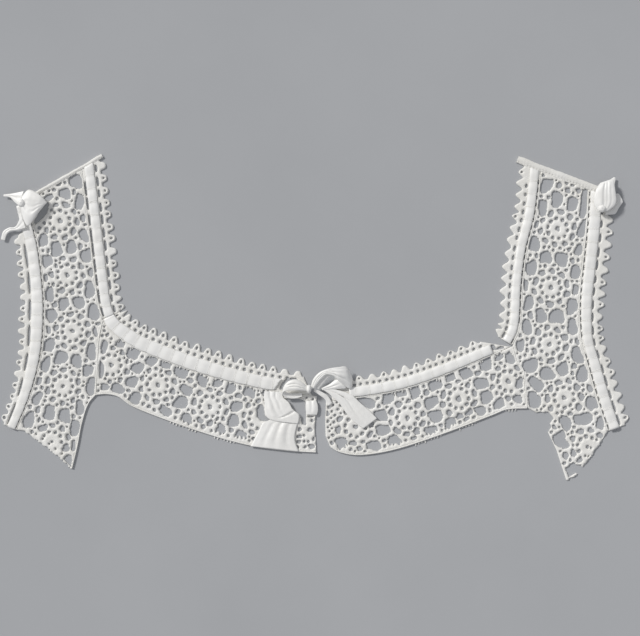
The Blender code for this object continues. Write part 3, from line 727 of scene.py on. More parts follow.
def repeat_holes(strip, between, turn, mirror, hand, scale, rng):
    """Every hole of the repeat along a strip. Hand is 1 where the neck lies left of its line."""
    holes = []
    for low, high in zip(strip.marks, strip.marks[1:]):
        stretch = (high - low) / (WHEEL_PITCH_PX * MM_PER_PX)
        for spot in between:
            for su in (1, -1) if spot.u else (1,):
                for sv in (1, -1) if mirror and spot.v else (1,):
                    if spot.u > SHARED_FROM_PX and su < 0:
                        continue
                    s = (low + high) / 2 + su * spot.u * MM_PER_PX * stretch
                    s += rng.uniform(-SLIP_ALONG, SLIP_ALONG)
                    v = spot.v * sv * hand + rng.uniform(-SLIP_ACROSS_PX, SLIP_ACROSS_PX)
                    tilt = -spot.tilt * su * sv * hand + rng.uniform(-TURN_DEG, TURN_DEG)
                    way = turned(strip.way(s), tilt)
                    size = scale * rng.uniform(*GAP_SIZES)
                    half_u = spot.half_u * MM_PER_PX * size * min(stretch, LONGEST_STRETCH)
                    half_v = spot.half_v * MM_PER_PX * size
                    teeth = spot.teeth if spot.teeth > 0 or rng.random() < HEM_TEETH_CHANCE else 0
                    if teeth:
                        half_v *= TOOTHED_GROWTH
                    ring = blob(strip.spot(s, v), way, half_u, half_v, spot.square, rng, teeth * hand)
                    holes.append((ring, TOOTHED_EDGE_BAR if teeth else EDGE_BAR))
    for centre, mark in zip(strip.centres, strip.marks):
        way = strip.way(mark)
        for ring in RINGS:
            for k in range(ring.count):
                spoke = turned(way, 360.0 * (k + ring.phase) / ring.count + turn)
                middle = centre + spoke * (ring.radius * MM_PER_PX * rng.uniform(*RING_RADII))
                size = scale * MM_PER_PX * rng.uniform(*RING_SIZES)
                spoke = turned(spoke, rng.uniform(-TURN_DEG, TURN_DEG))
                hole = blob(middle, spoke, ring.half_out * size, ring.half_round * size, ring.square, rng)
                holes.append((hole, EDGE_BAR))
    return holes


def holes_of(rows, rng):
    """Uneven holes from a table in the photograph's frame."""
    made = []
    for row in rows:
        way = turned(Vector((1.0, 0.0)), row.tilt)
        half_x = row.half_x * MM_PER_PX
        half_y = row.half_y * MM_PER_PX
        made.append(blob(place(row.x_px, row.y_px), way, half_x, half_y, row.square, rng))
    return made


def odd_holes(name, rng):
    """The holes of one insertion that are no part of the repeat."""
    holes = holes_of(ODD_HOLES[name], rng)
    for row in DOT_ROWS[name]:
        for k in range(row.count):
            share = k / (row.count - 1)
            x_px = row.x_px + (row.to_x_px - row.x_px) * share
            y_px = row.y_px + (row.to_y_px - row.y_px) * share
            size = DOT_HALF_PX * MM_PER_PX * rng.uniform(0.85, 1.2)
            holes.append(blob(place(x_px, y_px), Vector((1.0, 0.0)), size, size, 0.0, rng, spacing=0.6))
    return holes


def drawn_gaps(outlines, rng):
    """Gaps from tables of points, with ragged sides."""
    gaps = []
    for rows in outlines:
        ring = dense(points_of(rows), 0.9)
        gaps.append([p + Vector((rng.uniform(-JITTER, JITTER), rng.uniform(-JITTER, JITTER))) for p in ring])
    return gaps


def frayed(points, hand, rng):
    """A rough cut edge. Hand is 1 where the lace lies left of the way along it, -1 where right."""
    rough = [points[0]]
    for a, b in zip(points, points[1:]):
        inward = left_of((b - a).normalized()) * hand
        count = round((b - a).length / FRAY_STEP)
        for k in range(1, count):
            rough.append(a + (b - a) * (k / count) + inward * rng.uniform(-FRAY_OUT, FRAY_IN))
        rough.append(b)
    return rough


def combed(points, stretches, rng):
    """A hem with loose thread ends hanging from it along some stretches."""
    made = [points[0]]
    for a, b in zip(points, points[1:]):
        way = (b - a).normalized()
        half = way * COMB_HALF
        count = round((b - a).length / COMB_PITCH)
        for k in range(count):
            spot = a + (b - a) * ((k + 0.5) / count)
            x_px = spot.x / MM_PER_PX + CENTRE_X_PX
            if any(row.from_x_px < x_px < row.to_x_px for row in stretches):
                drop = downward(way) * rng.uniform(*COMB_DROP)
                made += [spot - half * 1.5, spot - half + drop, spot + half + drop, spot + half * 1.5]
        made.append(b)
    return made


def sorted_holes(holes, border):
    """The holes that clear the border and each other, shrunk or pushed in where they come near."""
    kept = []
    bars = []
    taken = np.zeros((0, 2))
    for ring, bar in holes:
        whole = abs(area(ring))
        if border.depth(middle_of(ring))[0] < LEAST_DEPTH:
            continue
        ring = border.push_in(ring, bar)
        if abs(area(ring)) < LEAST_SHARE * whole:
            continue
        middle = middle_of(ring)
        clear = False
        for _ in range(SHRINK_TRIES):
            spots = array_of(ring)
            if not len(taken):
                clear = True
                break
            gap = np.sqrt(((spots[:, None, :] - taken[None, :, :]) ** 2).sum(axis=2)).min()
            if gap > THIN_BAR and not any(within(spots[:1], k)[0] for k in kept[-NEIGHBOURS:]):
                clear = True
                break
            ring = [middle + (p - middle) * SHRINK for p in ring]
        if clear and mean_radius(ring) > LEAST_HOLE:
            kept.append(ring)
            bars.append(bar)
            taken = np.vstack([taken, spots])
    return swollen(kept, bars, border)


def tiny_dots(rings, border, centres, rng):
    """Dots where the bars between larger holes meet."""
    tree = tree_of([spot for ring in rings for spot in dense(ring, 0.5)])
    edge = array_of(border.outline)
    low_x, low_y = edge.min(axis=0)
    across, up = ((edge.max(axis=0) - edge.min(axis=0)) / DOT_GRID).astype(int)
    spots = [(low_x + i * DOT_GRID, low_y + j * DOT_GRID) for j in range(up) for i in range(across)]
    spots = np.array(spots)
    free = within(spots, border.outline) & ~in_any(spots, rings)
    room = []
    for x, y in spots[free]:
        point = Vector((x, y))
        if min((point - c).length for c in centres) < WHEEL_SOLID_PX * MM_PER_PX:
            continue
        gap = min(tree.find((x, y, 0.0))[2], border.depth(point)[0])
        if gap > DOT_RADIUS[0] + DOT_CLEARANCE:
            room.append((gap, point))
    room.sort(key=lambda pair: -pair[0])
    placed = []
    for gap, point in room:
        radius = min(DOT_RADIUS[1] * rng.uniform(0.8, 1.15), gap - DOT_CLEARANCE)
        if all((point - other).length > radius + size + DOT_CLEARANCE for other, size in placed):
            placed.append((point, radius))
    dots = []
    for point, radius in placed:
        way = turned(Vector((1.0, 0.0)), rng.uniform(0.0, 180.0))
        dots.append(blob(point, way, radius * rng.uniform(0.9, 1.3), radius, 0.0, rng, spacing=0.55))
    return dots


def swollen(rings, bars, border):
    """The same holes, each point moved out where the bar beyond it is wider than it need be."""
    samples = []
    owners = []
    for number, ring in enumerate(rings):
        spots = dense(ring, 0.4)
        samples += spots
        owners += [number] * len(spots)
    tree = tree_of(samples)
    made = []
    for number, ring in enumerate(rings):
        size = mean_radius(ring)
        if size < SWELL_FROM or bars[number] == TOOTHED_EDGE_BAR:
            made.append(ring)
            continue
        middle = middle_of(ring)
        room = []
        for point in ring:
            found = tree.find((point.x, point.y, 0.0), filter=lambda i: owners[i] != number)
            beyond = (found[2] - BAR_WIDTH) / 2
            edge = border.depth(point)[0] - bars[number]
            room.append(max(0.0, min(beyond, edge, SWELL_SHARE * size / 2)))
        count = len(ring)
        grown = []
        for k, point in enumerate(ring):
            step = min(room[k], (room[k - 1] + room[k] + room[(k + 1) % count]) / 3)
            grown.append(point + (point - middle).normalized() * step)
        made.append(grown)
    return made


def mesh_grid(border, rings, edges_tree):
    """A triangular grid of points over the lace, clear of its edges and holes."""
    lows = array_of(border.points).min(axis=0)
    highs = array_of(border.points).max(axis=0)
    row_height = GRAIN * math.sqrt(3) / 2
    grid = []
    for j in range(int((highs[1] - lows[1]) / row_height) + 2):
        x0 = lows[0] + (GRAIN / 2 if j % 2 else 0.0)
        y = lows[1] + j * row_height
        grid += [(x0 + i * GRAIN, y) for i in range(int((highs[0] - lows[0]) / GRAIN) + 2)]
    grid = np.array(grid)
    grid = grid[within(grid, border.points)]
    grid = np.array([p for p in grid if edges_tree.find((p[0], p[1], 0.0))[2] > EDGE_CLEARANCE])
    return grid[~in_any(grid, rings)]


def lace_top(spots, depth, centres):
    """The height of the upper side: rounded to its edges, padded round each wheel."""
    round_off = 1 - np.minimum(depth, ROUNDING) / ROUNDING
    top = LACE_WALL * (EDGE_SHARE + (1 - EDGE_SHARE) * np.sqrt(1 - round_off**2))
    for centre in centres:
        radius = np.hypot(spots[:, 0] - centre.x, spots[:, 1] - centre.y)
        for ridge in PADDING:
            lift = ridge.height * np.exp(-(((radius - ridge.radius) / ridge.width) ** 2))
            top += lift * np.minimum(depth / ROUNDING, 1.0)
    ripple = np.array([noise.noise((x * 0.11, y * 0.11, 3.7)) for x, y in spots])
    return top + RIPPLE * ripple * (depth > 0.05)


def lace_mesh(name, border, holes, centres, material):
    """A lace wall with a flat underside, cut through at its holes, and its net area in m2."""
    rings = [border.points] + holes
    edges_tree = tree_of([spot for ring in rings for spot in dense(ring, EDGE_STEP)])
    flat = []
    edges = []
    for ring in rings:
        start = len(flat)
        flat += ring
        edges += [(start + i, start + (i + 1) % len(ring)) for i in range(len(ring))]
    flat += [Vector((p[0], p[1])) for p in mesh_grid(border, holes, edges_tree)]
    flat, _, cells, _, _, _ = delaunay_2d_cdt(flat, edges, [], 0, 1e-5)
    spots = array_of(flat)
    cells = np.array([tuple(c) for c in cells])
    middles = spots[cells].mean(axis=1)
    cells = cells[within(middles, border.points) & ~in_any(middles, holes)]
    a = spots[cells[:, 1]] - spots[cells[:, 0]]
    b = spots[cells[:, 2]] - spots[cells[:, 0]]
    cross = a[:, 0] * b[:, 1] - a[:, 1] * b[:, 0]
    cells[cross < 0] = cells[cross < 0][:, ::-1]
    used = np.unique(cells)
    order = np.full(len(spots), -1)
    order[used] = np.arange(len(used))
    cells = order[cells]
    spots = spots[used]
    depth = np.array([edges_tree.find((x, y, 0.0))[2] for x, y in spots])
    top = lace_top(spots, depth, centres)
    count = len(spots)
    directed = {}
    for cell in cells:
        for i in range(3):
            directed[(int(cell[i]), int(cell[(i + 1) % 3]))] = True
    faces = [tuple(int(i) for i in c) for c in cells]
    faces += [tuple(int(count + i) for i in c[::-1]) for c in cells]
    faces += [(count + p, count + q, q, p) for p, q in directed if (q, p) not in directed]
    points = [(x, y, z) for (x, y), z in zip(spots, top)] + [(x, y, 0.0) for x, y in spots]
    net = 0.5 * float(np.abs(cross).sum()) * METRE**2
    return new_piece(name, points, faces, material, SHARP_DEG), net


def new_piece(name, points, faces, material, sharp_deg=None):
    """A mesh object from millimetres, smooth but for edges sharper than an angle."""
    mesh = bpy.data.meshes.new(name)
    mesh.from_pydata([(x * METRE, y * METRE, z * METRE) for x, y, z in points], [], faces)
    mesh.materials.append(material)
    mesh.shade_smooth()
    if sharp_deg:
        mesh.set_sharp_from_angle(angle=math.radians(sharp_deg))
    piece = bpy.data.objects.new(name, mesh)
    bpy.context.scene.collection.objects.link(piece)
    return piece


def declare(piece, slot, *nodes):
    """Rides on the one body and stands for the nodes it dresses, which it hides. Its slot is not used."""
    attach(piece, "root")
    if nodes:
        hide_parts(*nodes)
    return piece


class Threads:
    """Tubes and shells gathered into one mesh."""

    def __init__(self):
        self.points = []
        self.faces = []

    def tube(self, path, radii, sides=6, squash=1.0):
        """A closed tube along a path, its section flattened by squash in height."""
        first = len(self.points)
        last = len(path) - 1
        for i, centre in enumerate(path):
            way = (path[min(i + 1, last)] - path[max(i - 1, 0)]).normalized()
            side = way.cross(Vector((0.0, 0.0, 1.0)))
            side = side.normalized() if side.length > 1e-6 else Vector((1.0, 0.0, 0.0))
            up = side.cross(way).normalized()
            radius = radii[i] if hasattr(radii, "__len__") else radii
            for k in range(sides):
                angle = 2 * math.pi * k / sides
                spot = centre + side * radius * math.cos(angle) + up * radius * squash * math.sin(angle)
                self.points.append(tuple(spot))
        for i in range(last):
            for k in range(sides):
                n = (k + 1) % sides
                a = first + i * sides
                self.faces.append((a + k, a + n, a + sides + n, a + sides + k))
        self.faces.append(tuple(first + k for k in reversed(range(sides))))
        self.faces.append(tuple(first + last * sides + k for k in range(sides)))

    def shell(self, grid, wall):
        """A thin closed wall whose upper side is a grid. Without a wall it goes down to the table."""
        along, across = grid.shape[:2]
        du = np.gradient(grid, axis=0)
        dv = np.gradient(grid, axis=1)
        up = np.cross(du, dv)
        up /= np.maximum(np.linalg.norm(up, axis=2, keepdims=True), 1e-9)
        lower = grid - up * wall if wall else grid * (1.0, 1.0, 0.0)
        first = len(self.points)
        self.points += [tuple(p) for p in grid.reshape(-1, 3)] + [tuple(p) for p in lower.reshape(-1, 3)]
        size = along * across

        def index(i, j, under):
            return first + i * across + j + (size if under else 0)

        for i in range(along - 1):
            for j in range(across - 1):
                quad = [(i, j), (i + 1, j), (i + 1, j + 1), (i, j + 1)]
                self.faces.append(tuple(index(p, q, False) for p, q in quad))
                self.faces.append(tuple(index(p, q, True) for p, q in reversed(quad)))
        rim = [(i, 0) for i in range(along)] + [(along - 1, j) for j in range(1, across)]
        rim += [(i, across - 1) for i in reversed(range(along - 1))]
        rim += [(0, j) for j in reversed(range(1, across - 1))]
        for p, q in zip(rim, rim[1:] + rim[:1]):
            self.faces.append((index(*p, False), index(*p, True), index(*q, True), index(*q, False)))

    def piece(self, name, material, sharp_deg=None):
        return new_piece(name, self.points, self.faces, material, sharp_deg)


# Outlines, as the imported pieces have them


def shoulder_line(shoulder, inset):
    """The cut line of a shoulder end, inset into the strap, from its arm side to its neck side."""
    neck = place(shoulder.neck_x_px, shoulder.neck_y_px)
    arm = place(shoulder.arm_x_px, shoulder.arm_y_px)
    down = downward((neck - arm).normalized())
    return arm + down * inset, neck + down * inset


def shoulder_cut(shoulder):
    """Where the lace ends under the binding, directed so that the strap lies on its left."""
    arm, neck = shoulder_line(shoulder, shoulder.binding - TUCK)
    return (neck, arm) if neck.x > arm.x else (arm, neck)


def shifted(rows, x):
    return [p + Vector((x, 0.0)) for p in points_of(rows)]


# What each half of the yoke is made from. Hand is 1 where its lace lies left of the neck seam's
# way, and band_from is how far past the corner the band's own points begin
Side = namedtuple(
    "Side",
    "name hand neck band_neck band_from arm corner tail tail_end hem front shoulder wheels band_wheels",
)
SIDES = (
    Side(
        "left", -1, NECK_LEFT, NECK_LEFT, 0.0, ARM_LEFT, CORNER_LEFT, TAIL_LEFT, TAIL_END_LEFT,
        HEM_LEFT, FRONT_LEFT, SHOULDER_LEFT, WHEELS_STRAP_LEFT, WHEELS_BAND_LEFT,
    ),
    Side(
        "right", 1, NECK_STRAP_RIGHT, NECK_BAND_RIGHT, STATION, ARM_RIGHT, CORNER_RIGHT, TAIL_RIGHT,
        TAIL_END_RIGHT, HEM_RIGHT, FRONT_RIGHT, SHOULDER_RIGHT, WHEELS_STRAP_RIGHT, WHEELS_BAND_RIGHT,
    ),
)


def insertions():
    """Each insertion's name, its own coordinates, its outline, and that with its rough ends."""
    rng = random.Random(71)
    for side in SIDES:
        hand = side.hand
        neck = Guide(side.neck)
        arm = Guide(side.arm)
        corner = neck.nearest(points_of(side.corner)[0])
        outline = neck.run(0.0, corner, HAIR, hand)[:-1] + shifted(side.corner, hand * HAIR)
        outline += points_of(side.tail[1:])
        end = points_of(side.tail_end)
        seam = arm.run(arm.length, 0.0, HAIR, -hand)
        cut = shoulder_cut(side.shoulder)
        rough = keep_left(outline + frayed(outline[-1:] + end, hand, rng)[1:] + seam, *cut)
        outline = keep_left(outline + end + seam, *cut)
        inner = neck.points + Guide(side.corner).points + Guide(side.tail).points
        borders = (inner, arm.points)[::-hand]
        yield "strap_" + side.name, Strip(side.wheels, *borders), outline, rough

        neck = Guide(side.band_neck)
        corner = neck.nearest(points_of(side.corner)[0])
        along = neck.run(corner + side.band_from, neck.length, HAIR, hand)
        if not side.band_from:
            along = along[1:]
        along += points_of(side.front)[1:-1]
        hem = Guide(side.hem)
        edge = hem.run(hem.length, 0.0, 0.0, 1)[:-1]
        seam = shifted(side.corner, -hand * HAIR)[::-1]
        rough = along + combed(edge, COMBED["band_" + side.name], rng) + seam
        borders = (neck.points, hem.points)[::-hand]
        yield "band_" + side.name, Strip(side.band_wheels, *borders), along + edge + seam, rough


def ribbon_height(s, t, phase):
    """How high a run ribbon's upper side lies: held down at each thread bar, and swelling between."""
    beat = 0.5 - 0.5 * math.cos(2 * math.pi * s / THREAD_BAR_PITCH)
    edge = 1 - abs(t) ** 3.2
    ripple = noise.noise((s * 0.16, t * 0.9, phase))
    return 1.52 + edge * (0.34 + 0.42 * beat) + 0.16 * ripple * edge


class Edging:
    """A length of beading: its seam line, the line that it is cut to and where its ribbon lies."""

    def __init__(self, name, rows, side, section, start, stop):
        self.name = name
        self.guide = Guide(rows)
        self.side = side
        self.section = section
        self.start = start
        self.stop = self.guide.length if stop is None else stop
        if name in TRIMS:
            self.cut = tuple(points_of(TRIMS[name]))
        else:
            self.cut = shoulder_cut(SHOULDER_LEFT if "left" in name else SHOULDER_RIGHT)
        inner, outer, self.pointed = EDGINGS[name]
        self.middle = (inner + outer) / 2
        self.half = (outer - inner) / 2
        self.ribbon_start = start + RIBBON_FROM.get(name, 0.0)
        self.ribbon_stop = self.stop
        if name in RIBBON_ENDS:
            self.ribbon_stop = self.guide.nearest(points_of(RIBBON_ENDS[name])[0])

    def spot(self, s, out, tapered=True):
        """A point at length s and out from the seam, drawn in where the edging tapers."""
        return self.guide.offset(s, out, self.side, tapered)

    def seam(self, out):
        return self.guide.run(self.start, self.stop, out, self.side)

    def spaced(self, pitch):
        """How many repeats fit the length, and their pitch."""
        count = max(1, round((self.stop - self.start) / pitch))
        return count, (self.stop - self.start) / count

    def picots(self, rng):
        """The picot edge, and the middle of each picot for its eyelet."""
        count, pitch = self.spaced(PICOT_PITCH)
        base = self.section.base
        edge = []
        eyelets = []
        for i in range(count):
            tall = (self.section.tip - base) * rng.uniform(0.76, 1.06)
            slip = rng.uniform(-0.06, 0.06)
            if (i + 0.5) * pitch < BARE_EDGE.get(self.name, 0.0):
                for share in (0.0, 0.25, 0.5, 0.75):
                    edge.append(self.spot(self.start + (i + share) * pitch, self.section.ribbon_out + 0.5))
                continue
            for lobe, sharp in zip(ROUND_LOBE, TRIANGLE_LOBE):
                share = lobe.share * (1 - self.pointed) + sharp.share * self.pointed
                share += slip if lobe.share else 0.0
                rise = lobe.rise * (1 - self.pointed) + sharp.rise * self.pointed
                edge.append(self.spot(self.start + (i + share) * pitch, base + rise * tall))
            eyelets.append((self.start + (i + 0.5 + slip) * pitch, base + 0.4 * tall))
        edge.append(self.spot(self.stop, base))
        return edge, eyelets

    def slots(self, rng):
        """Rows of slots along the edging, and any slits under the bow."""
        holes = []
        for row in HOLE_ROWS[self.name]:
            count, pitch = self.spaced(row.pitch)
            for i in range(count):
                share = row.start + (row.end - row.start) * (i / count)
                half = max(pitch * share / 2 * rng.uniform(0.72, 1.08), row.half)
                s = self.start + (i + 0.5 + rng.uniform(-0.06, 0.06)) * pitch
                if s < self.start + PLAIN_START.get(self.name, 0.0):
                    continue
                ring = []
                sides = max(10, 2 * round(half * 2 / 0.9) + 6)
                for k in range(sides):
                    angle = 2 * math.pi * k / sides
                    c = math.cos(angle)
                    a = half * math.copysign(abs(c) ** 0.8, c)
                    v = row.half * math.sin(angle) * rng.uniform(0.86, 1.1)
                    ring.append(self.spot(s + a, row.out + v, row.out > TAPERED_FROM))
                holes.append(ring)
        return holes + holes_of(EDGING_SLITS.get(self.name, ()), rng)

    def eyelet_holes(self, eyelets, rng):
        """A small hole in most picots."""
        holes = []
        for s, out in eyelets:
            if rng.random() > EYELET_CHANCE.get(self.name, USUAL_EYELET_CHANCE):
                continue
            way = self.guide.at(s)[1]
            size = EYELET * rng.uniform(0.8, 1.2)
            tall = size * rng.uniform(0.9, 1.4)
            holes.append(blob(self.spot(s, out), way, size, tall, 0.0, rng, spacing=0.55))
        return holes

    def part_left_of(self, line, out, low, high, steps=200):
        """The part of an offset curve, as two lengths, that lies left of a line."""
        marks = [low + (high - low) * k / steps for k in range(steps + 1)]
        marks = [s for s in marks if side_of(self.spot(s, out), *line) >= 0]
        return marks[0], marks[-1]

    def ribbon(self, phase):
        """Satin ribbon laid along the edging, drawn in a little where each thread bar holds it."""
        low = self.ribbon_start
        high = self.ribbon_stop
        outs = [self.middle + self.half * t for t in RIBBON_COLUMNS]
        parts = [self.part_left_of(self.cut, out, low, high) for out in outs]
        if self.name in SLANTED_ENDS:
            line = points_of(SLANTED_ENDS[self.name])
            parts = [
                (begin, self.part_left_of(line, out, begin, high + SLANT_REACH)[1])
                for (begin, _), out in zip(parts, outs)
            ]
        count = max(8, round((high - low) / RIBBON_STEP))
        grid = np.zeros((count + 1, len(outs), 3))
        for i in range(count + 1):
            for j, (t, (begin, end)) in enumerate(zip(RIBBON_COLUMNS, parts)):
                s = begin + (end - begin) * i / count
                beat = 0.5 + 0.5 * math.cos(2 * math.pi * s / THREAD_BAR_PITCH)
                drawn = 1 - 0.07 * beat**3 + 0.03 * noise.noise((s * 0.2, 5.0 if t > 0 else 9.0, phase))
                spot = self.spot(s, self.middle + self.half * t * drawn)
                grid[i, j] = (spot.x, spot.y, ribbon_height(s, t, phase))
        return grid[:, ::-1] if self.side > 0 else grid

    def thread_bars(self, threads, phase, rng):
        """Pairs of lace threads that cross over the ribbon and hold it down."""
        half = self.half + 0.45
        low = self.ribbon_start + BARE_RIBBON_END
        high = self.ribbon_stop - BARE_RIBBON_END
        last = THREAD_POINTS - 1
        for k in range(math.ceil(low / THREAD_BAR_PITCH), int(high / THREAD_BAR_PITCH) + 1):
            for apart in THREAD_APART:
                s = k * THREAD_BAR_PITCH + apart
                lean = rng.uniform(-0.5, 0.5)
                path = []
                for i in range(THREAD_POINTS):
                    t = -1 + 2 * i / last
                    spot = self.spot(s + lean * t, self.middle + half * t)
                    height = ribbon_height(s, min(1.0, abs(t) * 1.08), phase) + 0.16
                    path.append(Vector((spot.x, spot.y, 1.0 if i in (0, last) else height)))
                if all(side_of(p, *self.cut) > 0 for p in path):
                    threads.tube(path, THREAD_RADIUS, 6)


def edgings():
    """The six lengths of beading, from the shoulders down and then along the neck."""
    corner_left = Guide(NECK_LEFT).nearest(points_of(CORNER_LEFT)[0])
    corner_right = Guide(NECK_STRAP_RIGHT).nearest(points_of(CORNER_RIGHT)[0])
    end_left = Guide(NECK_LEFT).nearest(points_of(BEADING_END_LEFT)[0])
    end_right = Guide(NECK_BAND_RIGHT).nearest(points_of(BEADING_END_RIGHT)[0])
    return (
        Edging("neck_strap_left", NECK_LEFT, 1, BEADING_NECK_LEFT, 0.0, corner_left - HAIR),
        Edging("neck_band_left", NECK_LEFT, 1, BEADING_NECK_LEFT, corner_left + HAIR, end_left),
        Edging("neck_strap_right", NECK_STRAP_RIGHT, -1, BEADING_NECK_STRAP_RIGHT, 0.0, corner_right),
        Edging("neck_band_right", NECK_BAND_RIGHT, -1, BEADING_NECK_BAND_RIGHT, 0.0, end_right),
        Edging("arm_left", ARM_LEFT, -1, BEADING_ARM, 0.0, None),
        Edging("arm_right", ARM_RIGHT, 1, BEADING_ARM, 0.0, None),
    )


def whipped_seam(threads, flat_path, radius):
    """A fine overcast seam: a low cord whose thickness beats with its stitches."""
    length = 0.0
    path = []
    radii = []
    for a, b in zip(flat_path, flat_path[1:]):
        span = (b - a).length
        steps = max(1, round(span / 0.5))
        for k in range(steps):
            spot = a + (b - a) * (k / steps)
            path.append(Vector((spot.x, spot.y, CORD_HEIGHT)))
            radii.append(radius * (0.84 + 0.2 * abs(math.sin(math.pi * length / OVERCAST_PITCH))))
            length += span / steps
    threads.tube(path, radii, 8, 0.9)


# Materials


def set_inputs(node, values):
    for name, value in values.items():
        node.inputs[name].default_value = value


def node_material(name, low, high, cast_scale, detail, values):
    """A material whose colour wanders between two, with the same finish all over."""
    material = bpy.data.materials.new(name)
    material.use_nodes = True
    tree = material.node_tree
    shader = tree.nodes["Principled BSDF"]
    coordinates = tree.nodes.new("ShaderNodeTexCoord")
    cast = add_noise(tree, coordinates, cast_scale, detail)
    ramp = tree.nodes.new("ShaderNodeValToRGB")
    for element, position, colour in zip(ramp.color_ramp.elements, (0.35, 0.7), (low, high)):
        element.position = position
        element.color = (*colour, 1.0)
    tree.links.new(cast.outputs["Fac"], ramp.inputs["Fac"])
    tree.links.new(ramp.outputs["Color"], shader.inputs["Base Color"])
    set_inputs(shader, values)
    return material, tree, shader, coordinates


def add_noise(tree, coordinates, scale, detail=3.0, roughness=0.55):
    node = tree.nodes.new("ShaderNodeTexNoise")
    set_inputs(node, {"Scale": scale, "Detail": detail, "Roughness": roughness})
    tree.links.new(coordinates.outputs["Object"], node.inputs["Vector"])
    return node


def add_wave(tree, coordinates, period, direction, distortion, detail_scale, turn):
    """Bands that repeat each period, in metres."""
    mapping = tree.nodes.new("ShaderNodeMapping")
    set_inputs(mapping, {"Rotation": (0.0, 0.0, math.radians(turn))})
    node = tree.nodes.new("ShaderNodeTexWave")
    node.wave_type = "BANDS"
    node.bands_direction = direction
    set_inputs(node, {"Scale": 0.314 / period, "Distortion": distortion, "Detail Scale": detail_scale})
    tree.links.new(coordinates.outputs["Object"], mapping.inputs["Vector"])
    tree.links.new(mapping.outputs["Vector"], node.inputs["Vector"])
    return node


def math_node(tree, operation, a, b):
    node = tree.nodes.new("ShaderNodeMath")
    node.operation = operation
    for socket, value in zip(node.inputs, (a, b)):
        if isinstance(value, (int, float)):
            socket.default_value = value
        else:
            tree.links.new(value, socket)
    return node.outputs["Value"]


def add_bump(tree, shader, height, strength, distance):
    bump = tree.nodes.new("ShaderNodeBump")
    bump.inputs["Strength"].default_value = strength
    bump.inputs["Distance"].default_value = distance
    tree.links.new(height, bump.inputs["Height"])
    tree.links.new(bump.outputs["Normal"], shader.inputs["Normal"])


def lace_cotton(name, turn):
    """Mercerised cotton thread laid close, with a faint warm cast that varies over the lace."""
    finish = {"Roughness": 0.78, "Sheen Weight": 0.25, "Sheen Roughness": 0.5}
    material, tree, shader, coordinates = node_material(
        name, (0.86, 0.845, 0.8), (0.93, 0.92, 0.89), 38.0, 3.0, finish
    )
    thread = add_wave(tree, coordinates, 0.00055, "X", 2.2, 3.0, turn)
    cross = add_wave(tree, coordinates, 0.0006, "Y", 2.2, 3.0, turn)
    fuzz = add_noise(tree, coordinates, 1500.0, 4.0, 0.7)
    woven = math_node(tree, "MAXIMUM", thread.outputs["Fac"], cross.outputs["Fac"])
    height = math_node(tree, "ADD", woven, math_node(tree, "MULTIPLY", fuzz.outputs["Fac"], 0.6))
    add_bump(tree, shader, height, 0.5, 0.0002)
    return material


def satin(name, turn):
    """White satin: smooth, lengthwise floats and a soft sheen that wanders."""
    finish = {"Specular IOR Level": 0.6, "Anisotropic": 0.55, "Sheen Weight": 0.18}
    material, tree, shader, coordinates = node_material(
        name, (0.9, 0.89, 0.86), (0.955, 0.95, 0.93), 26.0, 3.0, finish
    )
    gloss = add_noise(tree, coordinates, 140.0, 2.0)
    rough = tree.nodes.new("ShaderNodeMapRange")
    set_inputs(rough, {"To Min": 0.3, "To Max": 0.46})
    tree.links.new(gloss.outputs["Fac"], rough.inputs["Value"])
    tree.links.new(rough.outputs["Result"], shader.inputs["Roughness"])
    floats = add_wave(tree, coordinates, 0.00032, "X", 0.6, 2.0, turn)
    slub = add_noise(tree, coordinates, 420.0, 3.0)
    height = math_node(tree, "ADD", floats.outputs["Fac"], slub.outputs["Fac"])
    add_bump(tree, shader, height, 0.22, 0.0001)
    return material


def tape(name):
    """Cotton tape in a plain weave, a little greyer than the lace."""
    finish = {"Roughness": 0.84, "Sheen Weight": 0.2}
    material, tree, shader, coordinates = node_material(
        name, (0.85, 0.835, 0.79), (0.92, 0.91, 0.88), 60.0, 3.0, finish
    )
    warp = add_wave(tree, coordinates, 0.0005, "X", 0.5, 2.0, 30.0)
    weft = add_wave(tree, coordinates, 0.0005, "Y", 0.5, 2.0, 30.0)
    weave = math_node(tree, "MULTIPLY", warp.outputs["Fac"], weft.outputs["Fac"])
    add_bump(tree, shader, weave, 0.6, 0.0002)
    return material


def table_top(name):
    finish = {"Roughness": 0.9, "Specular IOR Level": 0.2}
    return node_material(name, FLOOR_LOW, FLOOR_HIGH, 5.0, 5.0, finish)[0]


# Bows, each ribbon given by its two edges from the knot outwards: a point on each, the height of
# each edge and of the middle


def ribs(*rows):
    return table("ax ay bx by za zm zb", *rows)


def creases(*rows):
    """Soft troughs (depth below 0) or ridges, whose place across runs from start to end."""
    return table("start end width depth begins stops", *rows)


def smooth(points, steps):
    """A smooth curve through some points."""
    ends = [2 * points[0] - points[1]] + points + [2 * points[-1] - points[-2]]
    spots = [points[0]]
    for i in range(1, len(ends) - 2):
        spots += [Guide.spline(ends[i - 1 : i + 3], k / steps) for k in range(1, steps + 1)]
    return spots


def fold_depth(fold, w, t):
    """How far one crease lowers or lifts the ribbon at w along it and t across."""
    if not fold.begins <= w <= fold.stops:
        return 0.0
    share = (w - fold.begins) / max(fold.stops - fold.begins, 1e-6)
    fade = min(1.0, 4 * share, 4 * (1 - share)) if fold.begins > 0 else min(1.0, 3 * (1 - share))
    centre = fold.start + (fold.end - fold.start) * w
    return fold.depth * fade * math.exp(-(((t - centre) / fold.width) ** 2))


